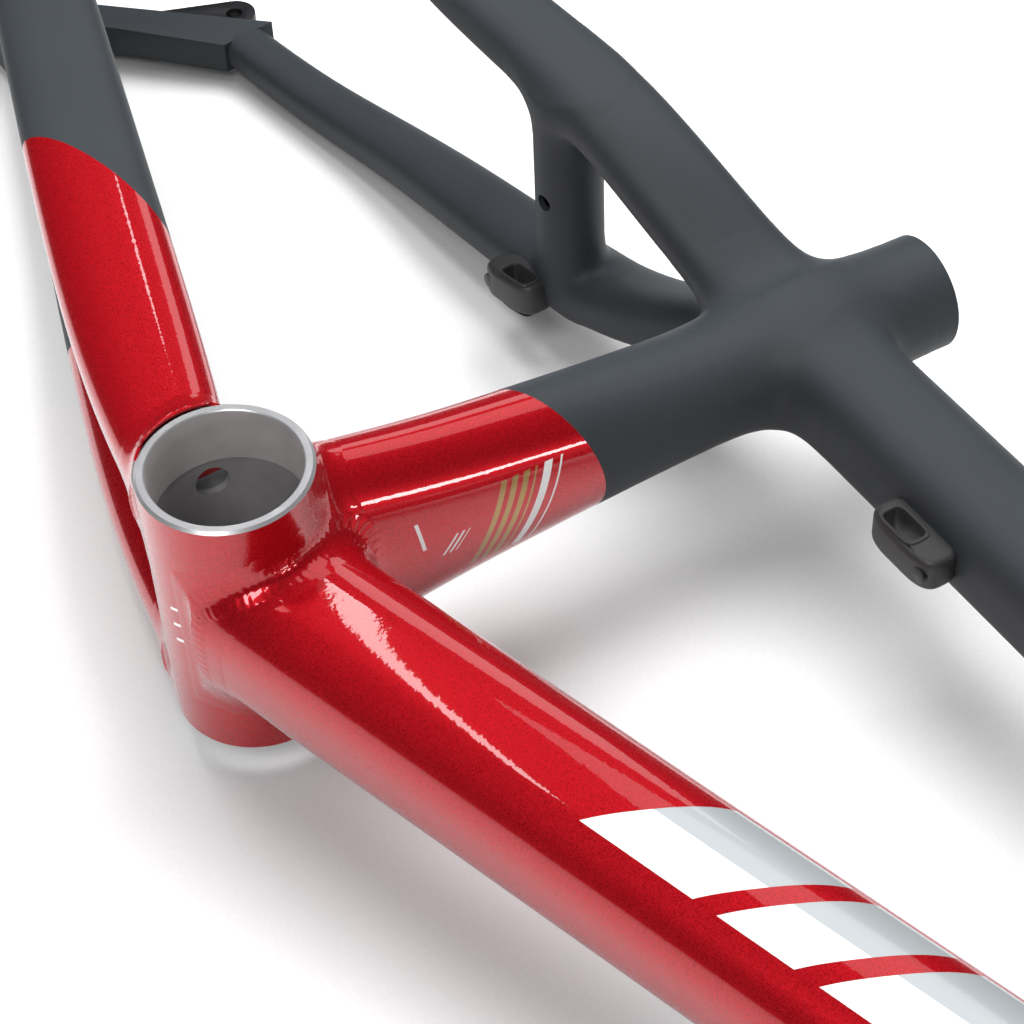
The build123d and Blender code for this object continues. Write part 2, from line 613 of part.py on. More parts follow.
def hose_guide(axis_point, along, half_height, length, carrier):
    """Guide hung under a tube, cut to the tube's underside, and its screw."""
    across_plane = section_plane(axis_point, along)
    up = across_plane.y_dir
    seat = axis_point - up * half_height
    side_plane = Plane(origin=seat, x_dir=across_plane.z_dir, z_dir=across_plane.z_dir.cross(up))
    outline = side_plane * RectangleRounded(length, 2 * GUIDE_HEIGHT, GUIDE_CORNER)
    block = extrude(outline, amount=GUIDE_WIDTH / 2, both=True)
    slot_place = side_plane * Pos(-length * GUIDE_SLOT_BACK_SHARE, -GUIDE_HEIGHT / 2)
    slot = slot_place * RectangleRounded(GUIDE_SLOT_LENGTH, GUIDE_SLOT_HEIGHT, GUIDE_SLOT_CORNER)
    block -= extrude(slot, amount=GUIDE_WIDTH, both=True)
    block -= carrier
    screw_at = seat + across_plane.z_dir * (length / 2 - GUIDE_SCREW_HEAD_R - GUIDE_SCREW_EDGE)
    head_at = screw_at - up * (GUIDE_HEIGHT - GUIDE_SCREW_SUNK)
    shank = rod(head_at, up, GUIDE_HEIGHT + GUIDE_SCREW_GRIP, GUIDE_SCREW_R)
    screw_solid = shank + rod(head_at, up * -1, GUIDE_SCREW_HEAD, GUIDE_SCREW_HEAD_R)
    block -= shank
    block -= rod(head_at, up * -1, GUIDE_HEIGHT, GUIDE_SCREW_HEAD_R)
    return block, screw_solid, shank


guide_at = top_start + top_axis * GUIDE_ALONG_TOP_TUBE
top_guide, top_guide_screw, top_shank = hose_guide(
    guide_at, top_axis, TOP_TUBE_HEIGHT / 2, GUIDE_LENGTH, top_solid
)
top_tube -= top_shank
stay_guide_at = between(stay_path[3], stay_path[4], STAY_GUIDE_SHARE)
stay_half_height = (SEATSTAY_SHAPE[3][3] + SEATSTAY_SHAPE[4][3]) / 4
stay_guide, stay_guide_screw, stay_shank = hose_guide(
    stay_guide_at,
    stay_path[4] - stay_path[3],
    stay_half_height,
    STAY_GUIDE_LENGTH,
    stay_solid + bridge_solid,
)
seatstay_left = seatstay - stay_shank

save("bb_shell", bb_shell)
save("seat_tube", seat_tube)
save("top_tube", top_tube)
save("down_tube", down_tube)
save("head_tube", head_tube)
save_pair("chainstay", chainstay)
save("seatstay_left", seatstay_left)
save("seatstay_right", mirror(seatstay, about=Plane.XZ))
save("seatstay_bridge", bridge)
save_pair("dropout", dropout)
save("axle_slider_left", slider_left)
save("axle_slider_right", mirror(slider, about=Plane.XZ))
save_pair("adjuster_screw", screw)
save_pair("adjuster_clip", clip)
save_pair("end_cap", end_cap)
save_pair("end_cap_bolts", Compound(cap_bolts))
save("disc_mount", disc_mount)
save("disc_mount_bolts", Compound(disc_bolts))
save("top_tube_hose_guide", top_guide)
save("top_tube_guide_screw", top_guide_screw)
save("seatstay_hose_guide", stay_guide)
save("seatstay_guide_screw", stay_guide_screw)
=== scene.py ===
import math

import bmesh
import bpy
import numpy as np
import openvdb
from mathutils import Matrix, Vector


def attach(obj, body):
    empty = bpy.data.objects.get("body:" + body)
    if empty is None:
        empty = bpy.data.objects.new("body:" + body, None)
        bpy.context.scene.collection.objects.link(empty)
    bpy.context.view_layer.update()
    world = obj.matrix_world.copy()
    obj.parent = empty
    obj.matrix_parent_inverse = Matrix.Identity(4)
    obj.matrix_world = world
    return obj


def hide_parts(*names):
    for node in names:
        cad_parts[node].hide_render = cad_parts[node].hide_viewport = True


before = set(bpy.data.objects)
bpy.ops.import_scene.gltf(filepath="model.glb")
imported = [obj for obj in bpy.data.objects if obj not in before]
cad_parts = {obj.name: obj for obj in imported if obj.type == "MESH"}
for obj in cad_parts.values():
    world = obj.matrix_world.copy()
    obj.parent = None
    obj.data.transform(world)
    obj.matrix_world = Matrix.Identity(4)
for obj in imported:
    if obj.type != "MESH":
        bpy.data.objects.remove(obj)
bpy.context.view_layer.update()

# ------------ camera
# The bicycle frame lies on its left side and is seen from over its drive side,
# past the down tube, looking back across the bottom bracket to the seat tube.
FOCAL = 90.19
SENSOR = 36.0


def put(name, data):
    """A new object, set down in the scene."""
    thing = bpy.data.objects.new(name, data)
    bpy.context.scene.collection.objects.link(thing)
    return thing


eye = Vector((0.46395, -0.50777, 0.00375))
right = Vector((0.18487, 0.03509, 0.98214)).normalized()
up = Vector((-0.71161, -0.68449, 0.1584))
back = right.cross(up).normalized()
up = back.cross(right)
camera = put("camera", bpy.data.cameras.new("camera"))
camera.data.lens = FOCAL
camera.data.sensor_width = SENSOR
camera.data.clip_start = 0.01
camera.matrix_world = Matrix.Translation(eye) @ Matrix((right, up, back)).transposed().to_4x4()
bpy.context.scene.camera = camera

# ------------ bottom bracket shell
# A turned alloy barrel that the two cranks' bearing cups press into. Its ends
# are faced after painting, so bare metal shows there and in the bore. A hole
# through the wall near each end vents the chainstays.
MM = 0.001
BB_HALF, BB_R, BB_BORE_R = 43.25, 23.4, 20.5
BB_SEAT, BB_RELIEF = 18.0, 0.4
BB_CHAMFER, BB_LIP = 0.8, 0.35
VENT_R, VENT_DROP = 4.8, 10.7
DASH_PITCH, DASH_WIDE, DASH_LEAN = 3.1, 0.55, 0.55
DASH_REACH, DASH_RISE = (-12.0, 8.0), (-19.6, -16.0)
RED, RED_FLAKE, RED_CLOUD = (0.33, 0.002, 0.007, 1), (0.64, 0.012, 0.02, 1), (0.30, 0.001, 0.005, 1)
BLACK, BLACK_CLOUD = (0.020, 0.023, 0.026, 1), (0.026, 0.030, 0.034, 1)
DASH_WHITE = (0.8, 0.8, 0.8, 1)
FLAKE, TOOL_LINE, CLEAR_ROUGH = 0.22, 0.4, 0.03
STAIN_SHARE = 0.62
SHELL_SIDES, DRILL_SIDES = 160, 40
SHELL_RINGS = 25
CRISP = math.radians(32)


class Finish:
    """The nodes of one finish, wired up one after another."""

    def __init__(self, name):
        self.material = bpy.data.materials.new(name)
        self.material.use_nodes = True
        self.tree = self.material.node_tree
        self.tree.nodes.clear()
        self.place = self.add("TexCoord").outputs["Object"]

    def add(self, kind, sockets=None, **settings):
        node = self.tree.nodes.new("ShaderNode" + kind)
        for key, value in settings.items():
            setattr(node, key, value)
        for key, value in (sockets or {}).items():
            if isinstance(value, bpy.types.NodeSocket):
                self.tree.links.new(value, node.inputs[key])
            else:
                node.inputs[key].default_value = value
        return node

    def math(self, operation, *values):
        return self.add("Math", dict(enumerate(values)), operation=operation).outputs[0]

    def along(self, axis):
        """Distance along an axis, in millimetres."""
        dot = self.add("VectorMath", {0: self.place, 1: tuple(axis)}, operation="DOT_PRODUCT")
        return self.math("MULTIPLY", dot.outputs["Value"], 1 / MM)

    def noise(self, size, detail=3.0, place=None):
        """Cloudy noise whose patches are about that many millimetres."""
        place = self.place if place is None else place
        sockets = {"Vector": place, "Scale": 1 / (size * MM), "Detail": detail}
        return self.add("TexNoise", sockets).outputs["Fac"]

    def spread(self, value, low, high):
        """A 0 to 1 value stretched between two others."""
        return self.add("MapRange", {"Value": value, "To Min": low, "To Max": high}).outputs["Result"]

    def tint(self, factor, first, second):
        mix = self.add("Mix", {0: factor, 6: first, 7: second}, data_type="RGBA")
        return mix.outputs[2]

    def bump(self, height, depth):
        """Fine relief whose full height is that many millimetres."""
        sockets = {"Height": height, "Distance": depth * MM, "Strength": 1.0}
        return self.add("Bump", sockets).outputs["Normal"]

    def finish(self, shader):
        output = self.add("OutputMaterial", {"Surface": shader})
        output.is_active_output = True
        return self.material


def red_coat(finish):
    """Candy red: a tinted clear coat over bright metallic flake, polished."""
    cloud = finish.noise(1.1, 2.0)
    flake = finish.add("TexVoronoi", {"Vector": finish.place, "Scale": 1 / (FLAKE * MM)}).outputs["Color"]
    glint = finish.add("SeparateColor", {0: flake}).outputs[0]
    deep = finish.tint(finish.spread(glint, 0.0, 0.45), RED, RED_FLAKE)
    colour = finish.tint(finish.spread(cloud, 0.0, 0.25), deep, RED_CLOUD)
    peel = finish.bump(finish.noise(1.9, 1.5), 0.012)
    coat = {
        "Base Color": colour,
        "Metallic": 0.62,
        "Specular IOR Level": 0.12,
        "Roughness": finish.spread(glint, 0.24, 0.42),
        "Coat Weight": 1.0,
        "Coat Roughness": CLEAR_ROUGH,
        "Coat IOR": 1.52,
        "Coat Normal": peel,
    }
    return finish.add("BsdfPrincipled", coat).outputs[0]


def black_coat(finish):
    """Satin black powder coat over alloy, with a very fine even grain."""
    grain = finish.noise(0.35, 2.0)
    cloud = finish.noise(38.0, 3.0)
    coat = {
        "Base Color": finish.tint(cloud, BLACK, BLACK_CLOUD),
        "Roughness": finish.spread(cloud, 0.50, 0.56),
        "Specular IOR Level": 0.22,
        "Normal": finish.bump(grain, 0.012),
    }
    return finish.add("BsdfPrincipled", coat).outputs[0]


def machined(name, colour, roughness, ring_axis=None, metallic=1.0):
    """Bare cut alloy, with fine tool lines round or along the cut."""
    finish = Finish(name)
    if ring_axis is None:
        lines = finish.noise(0.5, 4.0)
    else:
        stretched = finish.add("VectorMath", {0: finish.place, 1: ring_axis}, operation="MULTIPLY")
        lines = finish.noise(TOOL_LINE, 4.0, stretched.outputs[0])
    stain = finish.noise(9.0, 5.0)
    darker = tuple(STAIN_SHARE * c for c in colour[:3]) + (1,)
    metal = {
        "Base Color": finish.tint(stain, colour, darker),
        "Metallic": metallic,
        "Roughness": finish.spread(stain, roughness - 0.08, roughness + 0.12),
        "Normal": finish.bump(lines, 0.02),
    }
    return finish.finish(finish.add("BsdfPrincipled", metal).outputs[0])


def ink(finish, colour, roughness, metallic=0.0):
    """A printed mark, under the same clear coat as the paint."""
    coat = {"Base Color": colour, "Metallic": metallic, "Roughness": roughness}
    coat.update({"Coat Weight": 1.0, "Coat Roughness": CLEAR_ROUGH})
    return finish.add("BsdfPrincipled", coat).outputs[0]


def window(finish, *limits):
    """1 where every (value, low, high) lies between its limits, else 0."""
    inside = 1.0
    for value, low, high in limits:
        inside = finish.math("MULTIPLY", inside, finish.math("GREATER_THAN", value, low))
        inside = finish.math("MULTIPLY", inside, finish.math("LESS_THAN", value, high))
    return inside


def red_with_dashes():
    """Plain red with a short row of white dashes on the shell's front."""
    finish = Finish("red_with_dashes")
    y, z = finish.along((0, 1, 0)), finish.along((0, 0, 1))
    slanted = finish.math("ADD", y, finish.math("MULTIPLY", z, DASH_LEAN))
    dash = finish.math("LESS_THAN", finish.math("PINGPONG", slanted, DASH_PITCH), DASH_WIDE)
    front = (finish.along((1, 0, 0)), 0.0, 2 * BB_R)
    dash = finish.math("MULTIPLY", dash, window(finish, (y, *DASH_REACH), (z, *DASH_RISE), front))
    coats = {0: dash, 1: red_coat(finish), 2: ink(finish, DASH_WHITE, 0.3)}
    return finish.finish(finish.add("MixShader", coats).outputs[0])


def ring_faces(rows, columns):
    """Quads between rings of points, and from the last ring to the first."""
    faces = []
    for i in range(rows):
        for j in range(columns):
            k, m = (i + 1) % rows, (j + 1) % columns
            faces.append((i * columns + j, i * columns + m, k * columns + m, k * columns + j))
    return faces


def place_piece(name, points, faces, body, materials, replaced=(), picks=None):
    """A closed mesh from points in millimetres, smooth but for its true edges."""
    mesh = bpy.data.meshes.new(name)
    mesh.from_pydata((np.asarray(points).reshape(-1, 3) * MM).tolist(), [], faces)
    for material in materials:
        mesh.materials.append(material)
    if picks is not None:
        mesh.polygons.foreach_set("material_index", picks)
    solid = bmesh.new()
    solid.from_mesh(mesh)
    bmesh.ops.recalc_face_normals(solid, faces=solid.faces)
    solid.to_mesh(mesh)
    solid.free()
    mesh.shade_smooth()
    mesh.set_sharp_from_angle(angle=CRISP)
    piece = put(name, mesh)
    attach(piece, body)
    if replaced:
        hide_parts(*replaced)
    return piece


def baked(piece):
    """Makes the piece's modifiers part of its mesh."""
    shaped = piece.evaluated_get(bpy.context.evaluated_depsgraph_get())
    old = piece.data
    piece.data = bpy.data.meshes.new_from_object(shaped)
    piece.modifiers.clear()
    bpy.data.meshes.remove(old)
    return piece


def cut_away(piece, cutter, pick):
    """Takes a closed bmesh away from a piece, and gives the cut its finish."""
    for face in cutter.faces:
        face.material_index = pick
    mesh = bpy.data.meshes.new("cutter")
    cutter.to_mesh(mesh)
    cutter.free()
    tool = put("cutter", mesh)
    cut = piece.modifiers.new("cut", "BOOLEAN")
    cut.operation = "DIFFERENCE"
    cut.solver = "EXACT"
    cut.object = tool
    bpy.context.view_layer.update()
    baked(piece)
    bpy.data.objects.remove(tool)
    piece.data.shade_smooth()
    piece.data.set_sharp_from_angle(angle=CRISP)


def bored(piece, start, along, radius, depth, pick=0):
    """Drills a round hole through a piece, from start in millimetres."""
    drill = bmesh.new()
    turn = Vector(along).to_track_quat("Z", "Y").to_matrix().to_4x4()
    place = Matrix.Translation(Vector(start) * MM) @ turn @ Matrix.Translation((0, 0, depth * MM / 2))
    size = {"radius1": radius * MM, "radius2": radius * MM, "depth": depth * MM}
    bmesh.ops.create_cone(drill, cap_ends=True, segments=DRILL_SIDES, matrix=place, **size)
    cut_away(piece, drill, pick)


shell_red = red_with_dashes()
faced_alloy = machined("faced_alloy", (0.62, 0.62, 0.64, 1), 0.34, metallic=0.8)
bored_alloy = machined("bored_alloy", (0.50, 0.47, 0.47, 1), 0.42, (0.15, 1.0, 0.15), 0.25)
# Dark raw alloy for the unmachined middle of the bore and the walls of the vent holes. It is partly the
# metal's own duller unfaced tone and partly painted shade: it is darker than the bored alloy, so these
# recesses read as shadowed.
raw_alloy_and_painted_shade = machined("raw_alloy_and_painted_shade", (0.30, 0.29, 0.29, 1), 0.50, (0.15, 1.0, 0.15), 0.3)
RED_SIDE, FACED, BORED, RAW_AND_SHADE = 0, 1, 2, 3
relief_end = BB_HALF - BB_SEAT
painted_half = BB_HALF - BB_CHAMFER
shell_profile = [(BB_R, y, RED_SIDE) for y in np.linspace(-painted_half, painted_half, SHELL_RINGS)]
shell_profile[-1] = (BB_R, painted_half, FACED)
shell_profile += [
    (BB_R - BB_CHAMFER, BB_HALF, FACED),
    (BB_BORE_R + BB_LIP, BB_HALF, FACED),
    (BB_BORE_R, BB_HALF - BB_LIP, BORED),
    (BB_BORE_R, relief_end + BB_RELIEF, RAW_AND_SHADE),
    (BB_BORE_R + BB_RELIEF, relief_end, RAW_AND_SHADE),
    (BB_BORE_R + BB_RELIEF, -relief_end, RAW_AND_SHADE),
    (BB_BORE_R, -relief_end - BB_RELIEF, BORED),
    (BB_BORE_R, -BB_HALF + BB_LIP, FACED),
    (BB_BORE_R + BB_LIP, -BB_HALF, FACED),
    (BB_R - BB_CHAMFER, -BB_HALF, FACED),
]
shell_turns = np.linspace(0, 2 * math.pi, SHELL_SIDES, endpoint=False)
shell_points = [(r * math.cos(t), y, r * math.sin(t)) for r, y, _ in shell_profile for t in shell_turns]
shell_picks = [pick for _, _, pick in shell_profile for _ in shell_turns]
bb_shell = place_piece(
    "bottom_bracket_shell",
    shell_points,
    ring_faces(len(shell_profile), SHELL_SIDES),
    "frame",
    [shell_red, faced_alloy, bored_alloy, raw_alloy_and_painted_shade],
    ["bb_shell"],
    shell_picks,
)
vent_along = (-math.cos(math.radians(VENT_DROP)), 0, -math.sin(math.radians(VENT_DROP)))
# The vent holes' walls take the dark raw alloy, which paints shade into the holes.
for vent_y in (-BB_SEAT, BB_SEAT):
    bored(bb_shell, (0, vent_y, 0), vent_along, VENT_R, 2 * BB_R, RAW_AND_SHADE)

# ------------ seat tube
# A drawn alloy tube, swaged wide and oval where it meets the shell and round
# from its middle up, reamed for the post and slotted behind so that a clamp
# can close it. Its foot is red and the rest black, masked on a slant.
SEAT_ANGLE = 71.5
SEAT_TOP, SEAT_R, SEAT_WALL, SEAT_LIP = 220.6, 17.4, 1.6, 0.3
SEAT_SHAPE = (
    (8.0, 38.0, 18.6),
    (30.0, 33.5, 18.2),
    (60.0, 27.6, 17.7),
    (87.0, 23.8, 17.4),
    (118.0, 19.9, 17.4),
    (150.0, SEAT_R, SEAT_R),
    (185.0, SEAT_R, SEAT_R),
    (SEAT_TOP, SEAT_R, SEAT_R),
)
ROUND = 2.0
SLOT_LONG, SLOT_WIDE, SLOT_HOLE_DEEP = 28.0, 3.0, 1.4
SAW_DEEP, SAW_FROM, SAW_PAST = 1.2, 0.6, 2.0
SEAT_RED_TOP, SEAT_RED_SLANT, SEAT_RED_SKEW = 92.1, 0.55, 0.15
TUBE_SIDES, ROW_STEP = 96, 4.0
TUBE_TURNS = np.linspace(0, 2 * math.pi, TUBE_SIDES, endpoint=False)
SHELL_BITE, MITRE_REACH, HALVINGS = 1.2, 60.0, 18
TINY, LEAST_SLOPE, COARSE = 1e-9, 0.02, 6
GOLD, WHITE = (0.30, 0.18, 0.05, 1), (0.55, 0.55, 0.55, 1)
SEAT_FRONT, BAR_REACH, BAR_LEAN = (-40.0, -2.0), (-13.0, 13.0), 0.45


def heading(angle):
    """Unit vector in the middle plane, at an angle above straight ahead."""
    return np.array([math.cos(math.radians(angle)), 0.0, math.sin(math.radians(angle))])


class Tube:
    """A tube's outside: its line, and along it the half width, the half height
    and the squareness of the section, where 2 is an ellipse."""

    def __init__(self, stations, step=2.0):
        stations = np.array(stations, float)
        run = np.r_[0, np.cumsum(np.linalg.norm(np.diff(stations[:, :3], axis=0), axis=1))]
        self.length = run[-1]
        self.run = np.linspace(0, self.length, max(3, round(self.length / step) + 1))
        self.step = self.run[1]
        smooth = self.carried(run, stations)
        self.centre, self.size = smooth[:, :3], smooth[:, 3:6]
        along = np.gradient(self.centre, self.run, axis=0)
        self.along = along / np.linalg.norm(along, axis=1)[:, None]
        side = np.cross([0, 0, 1.0], self.along)
        if np.hypot(self.along[0, 0], self.along[0, 2]) < TINY:
            side = np.tile([1.0, 0, 0], (len(self.run), 1))
        self.side = side / np.linalg.norm(side, axis=1)[:, None]
        self.up = np.cross(self.along, self.side)
        self.straight = np.allclose(self.along, self.along[0])

    def carried(self, run, rows):
        """Rows of numbers carried through their stations by a smooth cubic."""
        n = len(run)
        gap = np.diff(run)
        bend, pull = np.eye(n), np.zeros((n, rows.shape[1]))
        for i in range(1, n - 1):
            bend[i, i - 1 : i + 2] = gap[i - 1], 2 * (gap[i - 1] + gap[i]), gap[i]
            pull[i] = 6 * ((rows[i + 1] - rows[i]) / gap[i] - (rows[i] - rows[i - 1]) / gap[i - 1])
        second = np.linalg.solve(bend, pull)
        k = np.clip(np.searchsorted(run, self.run, side="right") - 1, 0, n - 2)
        h = gap[k][:, None]
        b = (self.run - run[k])[:, None] / h
        a = 1 - b
        curve = ((a**3 - a) * second[k] + (b**3 - b) * second[k + 1]) * h * h / 6
        return a * rows[k] + b * rows[k + 1] + curve

    def at(self, run, values):
        place = np.clip(run / self.step, 0, len(self.run) - 1)
        k = np.minimum(place.astype(int), len(self.run) - 2)
        share = (place - k)[..., None]
        return values[k] * (1 - share) + values[k + 1] * share

    def skin(self, run, turn, inset=0.0):
        """Points on the skin, or inset from it, and the ways they face."""
        size = self.at(run, self.size)
        a, b, n = size[..., 0] - inset, size[..., 1] - inset, size[..., 2]
        c, s = np.cos(turn), np.sin(turn)
        reach = (np.abs(c / a) ** n + np.abs(s / b) ** n) ** (-1 / n)
        x, y = reach * c, reach * s
        side, up_way = self.at(run, self.side), self.at(run, self.up)
        point = self.at(run, self.centre) + side * x[..., None] + up_way * y[..., None]
        gx = np.sign(x) * np.abs(x / a) ** (n - 1) / a
        gy = np.sign(y) * np.abs(y / b) ** (n - 1) / b
        out = side * gx[..., None] + up_way * gy[..., None]
        return point, out / np.linalg.norm(out, axis=-1)[..., None]

    def distance(self, points):
        """How far points stand off the skin, in millimetres; negative inside."""
        if self.straight:
            run = (points - self.centre[0]) @ self.along[0]
        else:
            coarse = self.centre[::COARSE]
            gaps = (points**2).sum(1)[:, None] - 2 * points @ coarse.T + (coarse**2).sum(1)
            near = np.minimum(gaps.argmin(1) * COARSE, len(self.run) - 1)
            for _ in range(3):
                run = self.run[near] + ((points - self.centre[near]) * self.along[near]).sum(1)
                near = np.clip(np.round(run / self.step).astype(int), 0, len(self.run) - 1)
            run = self.run[near] + ((points - self.centre[near]) * self.along[near]).sum(1)
        offset = points - self.at(run, self.centre)
        x = (offset * self.at(run, self.side)).sum(1)
        y = (offset * self.at(run, self.up)).sum(1)
        size = self.at(run, self.size)
        a, b, n = size[:, 0], size[:, 1], size[:, 2]
        q = (np.abs(x / a) ** n + np.abs(y / b) ** n + TINY) ** (1 / n)
        slope = np.hypot(np.abs(x / a) ** (n - 1) / a, np.abs(y / b) ** (n - 1) / b) / q ** (n - 1)
        wall = (q - 1) / np.maximum(slope, LEAST_SLOPE)
        past = np.maximum(-run, run - self.length)
        return np.where(past > 0, np.maximum(wall, past), wall)


class Barrel:
    """The bottom bracket shell's outside, as the tubes welded to it see it."""

    def distance(self, points):
        return np.maximum(np.hypot(points[:, 0], points[:, 2]) - BB_R, np.abs(points[:, 1]) - BB_HALF)


def mitred(tube, member, bite, low=0.0, high=MITRE_REACH, inset=0.0):
    """Where each line along a tube's skin is cut to fit a member it meets, so
    that the end stands bite millimetres inside it. low is inside, high out."""
    low, high = np.full(TUBE_SIDES, float(low)), np.full(TUBE_SIDES, float(high))
    for _ in range(HALVINGS):
        middle = (low + high) / 2
        outside = member.distance(tube.skin(middle, TUBE_TURNS, inset)[0]) > -bite
        high = np.where(outside, middle, high)
        low = np.where(outside, low, middle)
    return (low + high) / 2


def mitres(tube, member, bite, wall, low=0.0, high=MITRE_REACH):
    """The cuts of a tube's outside and of its bore."""
    return [mitred(tube, member, bite, low, high, inset) for inset in (0.0, wall)]


def tube_rows(tube, first, last, wall, row_step=ROW_STEP):
    """Rings of points up the outside of a tube and back down its bore. first and
    last give (outside, bore) run lengths for every line round the tube."""
    count = max(4, int(np.max(last[0] - first[0]) / row_step))
    rows = []
    for share in np.linspace(0, 1, count):
        rows.append(tube.skin(first[0] * (1 - share) + last[0] * share, TUBE_TURNS)[0])
    for share in np.linspace(1, 0, max(4, count // 3)):
        rows.append(tube.skin(first[1] * (1 - share) + last[1] * share, TUBE_TURNS, wall)[0])
    return np.array(rows)


def tube_piece(name, rows, paint, replaced, painted_rows=None):
    """A tube painted outside and raw inside, from its rings of points."""
    if painted_rows is None:
        painted_rows = len(rows) * 3 // 4
    picks = [int(i >= painted_rows) for i in range(len(rows)) for _ in range(TUBE_SIDES)]
    faces = ring_faces(len(rows), TUBE_SIDES)
    return place_piece(name, rows, faces, "frame", [paint, reamed_alloy], replaced, picks)


def two_tone(name, edge, marks=()):
    """Red where edge(finish) is above zero and black elsewhere, with marks laid
    over it as (mask, colour, metallic)."""
    finish = Finish(name)
    side = edge(finish)
    is_red = finish.math("GREATER_THAN", side, 0.0)
    coats = {0: is_red, 1: black_coat(finish), 2: red_coat(finish)}
    shader = finish.add("MixShader", coats).outputs[0]
    for mask, colour, metallic in marks:
        coats = {0: mask(finish), 1: shader, 2: ink(finish, colour, 0.28, metallic)}
        shader = finish.add("MixShader", coats).outputs[0]
    return finish.finish(shader)


seat_axis = heading(180 - SEAT_ANGLE)
seat_back = heading(270 - SEAT_ANGLE)
seat_form = Tube([(*seat_axis * run, wide, deep, ROUND) for run, wide, deep in SEAT_SHAPE])
barrel = Barrel()


def seat_edge(finish):
    slant = finish.math("MULTIPLY", finish.along(seat_back), -SEAT_RED_SLANT)
    skew = finish.math("MULTIPLY", finish.along((0, 1, 0)), SEAT_RED_SKEW)
    line = finish.math("ADD", finish.math("ADD", SEAT_RED_TOP, slant), skew)
    return finish.math("SUBTRACT", line, finish.along(seat_axis))


def seat_bars(low, high, pitch, wide, reach=BAR_REACH, lean=BAR_LEAN):
    """Slanted stripes round the front of the seat tube, between two heights."""

    def mask(finish):
        run, across = finish.along(seat_axis), finish.along((0, 1, 0))
        slanted = finish.math("ADD", run, finish.math("MULTIPLY", across, lean))
        wave = finish.math("PINGPONG", finish.math("SUBTRACT", slanted, low), pitch / 2)
        stripe = finish.math("LESS_THAN", wave, wide / 2)
        front = (finish.along(seat_back), *SEAT_FRONT)
        place = window(finish, (slanted, low - wide, high), (across, *reach), front)
        return finish.math("MULTIPLY", stripe, place)
    return mask


seat_paint = two_tone(
    "seat_tube_two_tone",
    seat_edge,
    [
        (seat_bars(66.0, 76.5, 3.6, 1.9), GOLD, 0.8),
        (seat_bars(80.0, 84.5, 5.2, 2.6), WHITE, 0.0),
        (seat_bars(46.0, 47.0, 2.4, 1.1, (-12.0, -2.5), -0.15), WHITE, 0.0),
        (seat_bars(53.0, 57.0, 2.0, 0.8, (-3.5, 2.5), 0.8), WHITE, 0.0),
    ],
)
reamed_alloy = machined("reamed_alloy", (0.46, 0.46, 0.47, 1), 0.40)
seat_foot = mitres(seat_form, barrel, SHELL_BITE, SEAT_WALL)
seat_end = np.full(TUBE_SIDES, seat_form.length)
seat_rows = tube_rows(seat_form, seat_foot, [seat_end - SEAT_LIP] * 2, SEAT_WALL)
outside_rows = int(np.max(seat_end - SEAT_LIP - seat_foot[0]) / ROW_STEP)
lip = [seat_form.skin(seat_end, TUBE_TURNS, inset)[0] for inset in (SEAT_LIP, SEAT_WALL - SEAT_LIP)]
seat_rows = np.concatenate([seat_rows[:outside_rows], lip, seat_rows[outside_rows:]])
seat_tube = tube_piece("seat_tube_painted", seat_rows, seat_paint, ["seat_tube"], outside_rows)
slot_foot = seat_axis * (SEAT_TOP - SLOT_LONG)
saw = bmesh.new()
saw_size = Matrix.Diagonal((SAW_DEEP * SEAT_R * MM, SLOT_WIDE * MM, (SLOT_LONG + SAW_PAST) * MM, 1))
saw_turn = Matrix((seat_back, (0, 1, 0), seat_axis)).transposed().to_4x4()
saw_at = slot_foot + seat_back * SAW_FROM * SEAT_R + seat_axis * (SLOT_LONG + SAW_PAST) / 2
bmesh.ops.create_cube(saw, size=1.0, matrix=Matrix.Translation(saw_at * MM) @ saw_turn @ saw_size)
cut_away(seat_tube, saw, 1)
bored(seat_tube, slot_foot, seat_back, SLOT_WIDE, SLOT_HOLE_DEEP * SEAT_R, 1)

# ------------ down tube
# The largest tube: a drawn alloy section like a rounded square, wider at the
# shell than at the head, welded all round the front of the shell. Red but for
# its head end, with slanted white and silver bars along both sides.
DOWN_ANGLE, DOWN_DROP, HEAD_X = 37.7, 2.45, 390.0
DOWN_START, DOWN_WALL = 9.36, 1.5
DOWN_FOOT_SIZE, DOWN_HEAD_SIZE = (22.5, 23.5, 2.6), (19.0, 21.0, 2.6)
LONG_STEP = 6.0
DOWN_RED_END, DOWN_RED_TOP = 436.0, 22.0
BAR_WHITE, BAR_SILVER = (0.50, 0.52, 0.52, 1), (0.28, 0.30, 0.31, 1)
BARS = ((142.0, 34.0), (183.0, 22.0), (212.0, 22.0), (241.0, 15.0), (263.0, 9.0), (279.0, 5.0))
BAR_LOW, BAR_SPLIT, BAR_HIGH, BAR_SLANT = -11.0, 2.0, 17.0, 0.9
down_axis, down_up = heading(DOWN_ANGLE), heading(DOWN_ANGLE + 90)
down_foot = down_axis * DOWN_START - down_up * DOWN_DROP
down_run = (HEAD_X - down_foot[0]) / down_axis[0]
down_form = Tube([(*down_foot, *DOWN_FOOT_SIZE), (*(down_foot + down_axis * down_run), *DOWN_HEAD_SIZE)])


def down_bars(low, high):
    def mask(finish):
        run, rise = finish.along(down_axis), finish.along(down_up)
        slanted = finish.math("SUBTRACT", run, finish.math("MULTIPLY", rise, BAR_SLANT))
        total = 0.0
        for start, wide in BARS:
            total = finish.math("ADD", total, window(finish, (slanted, start, start + wide)))
        return finish.math("MULTIPLY", total, window(finish, (rise, low - DOWN_DROP, high - DOWN_DROP)))
    return mask


def down_edge(finish):
    """Red up to a line just short of the head tube, and black from there."""
    short = finish.math("SUBTRACT", DOWN_RED_END, finish.along(down_axis))
    return finish.math("MINIMUM", short, finish.math("SUBTRACT", DOWN_RED_TOP, finish.along(down_up)))


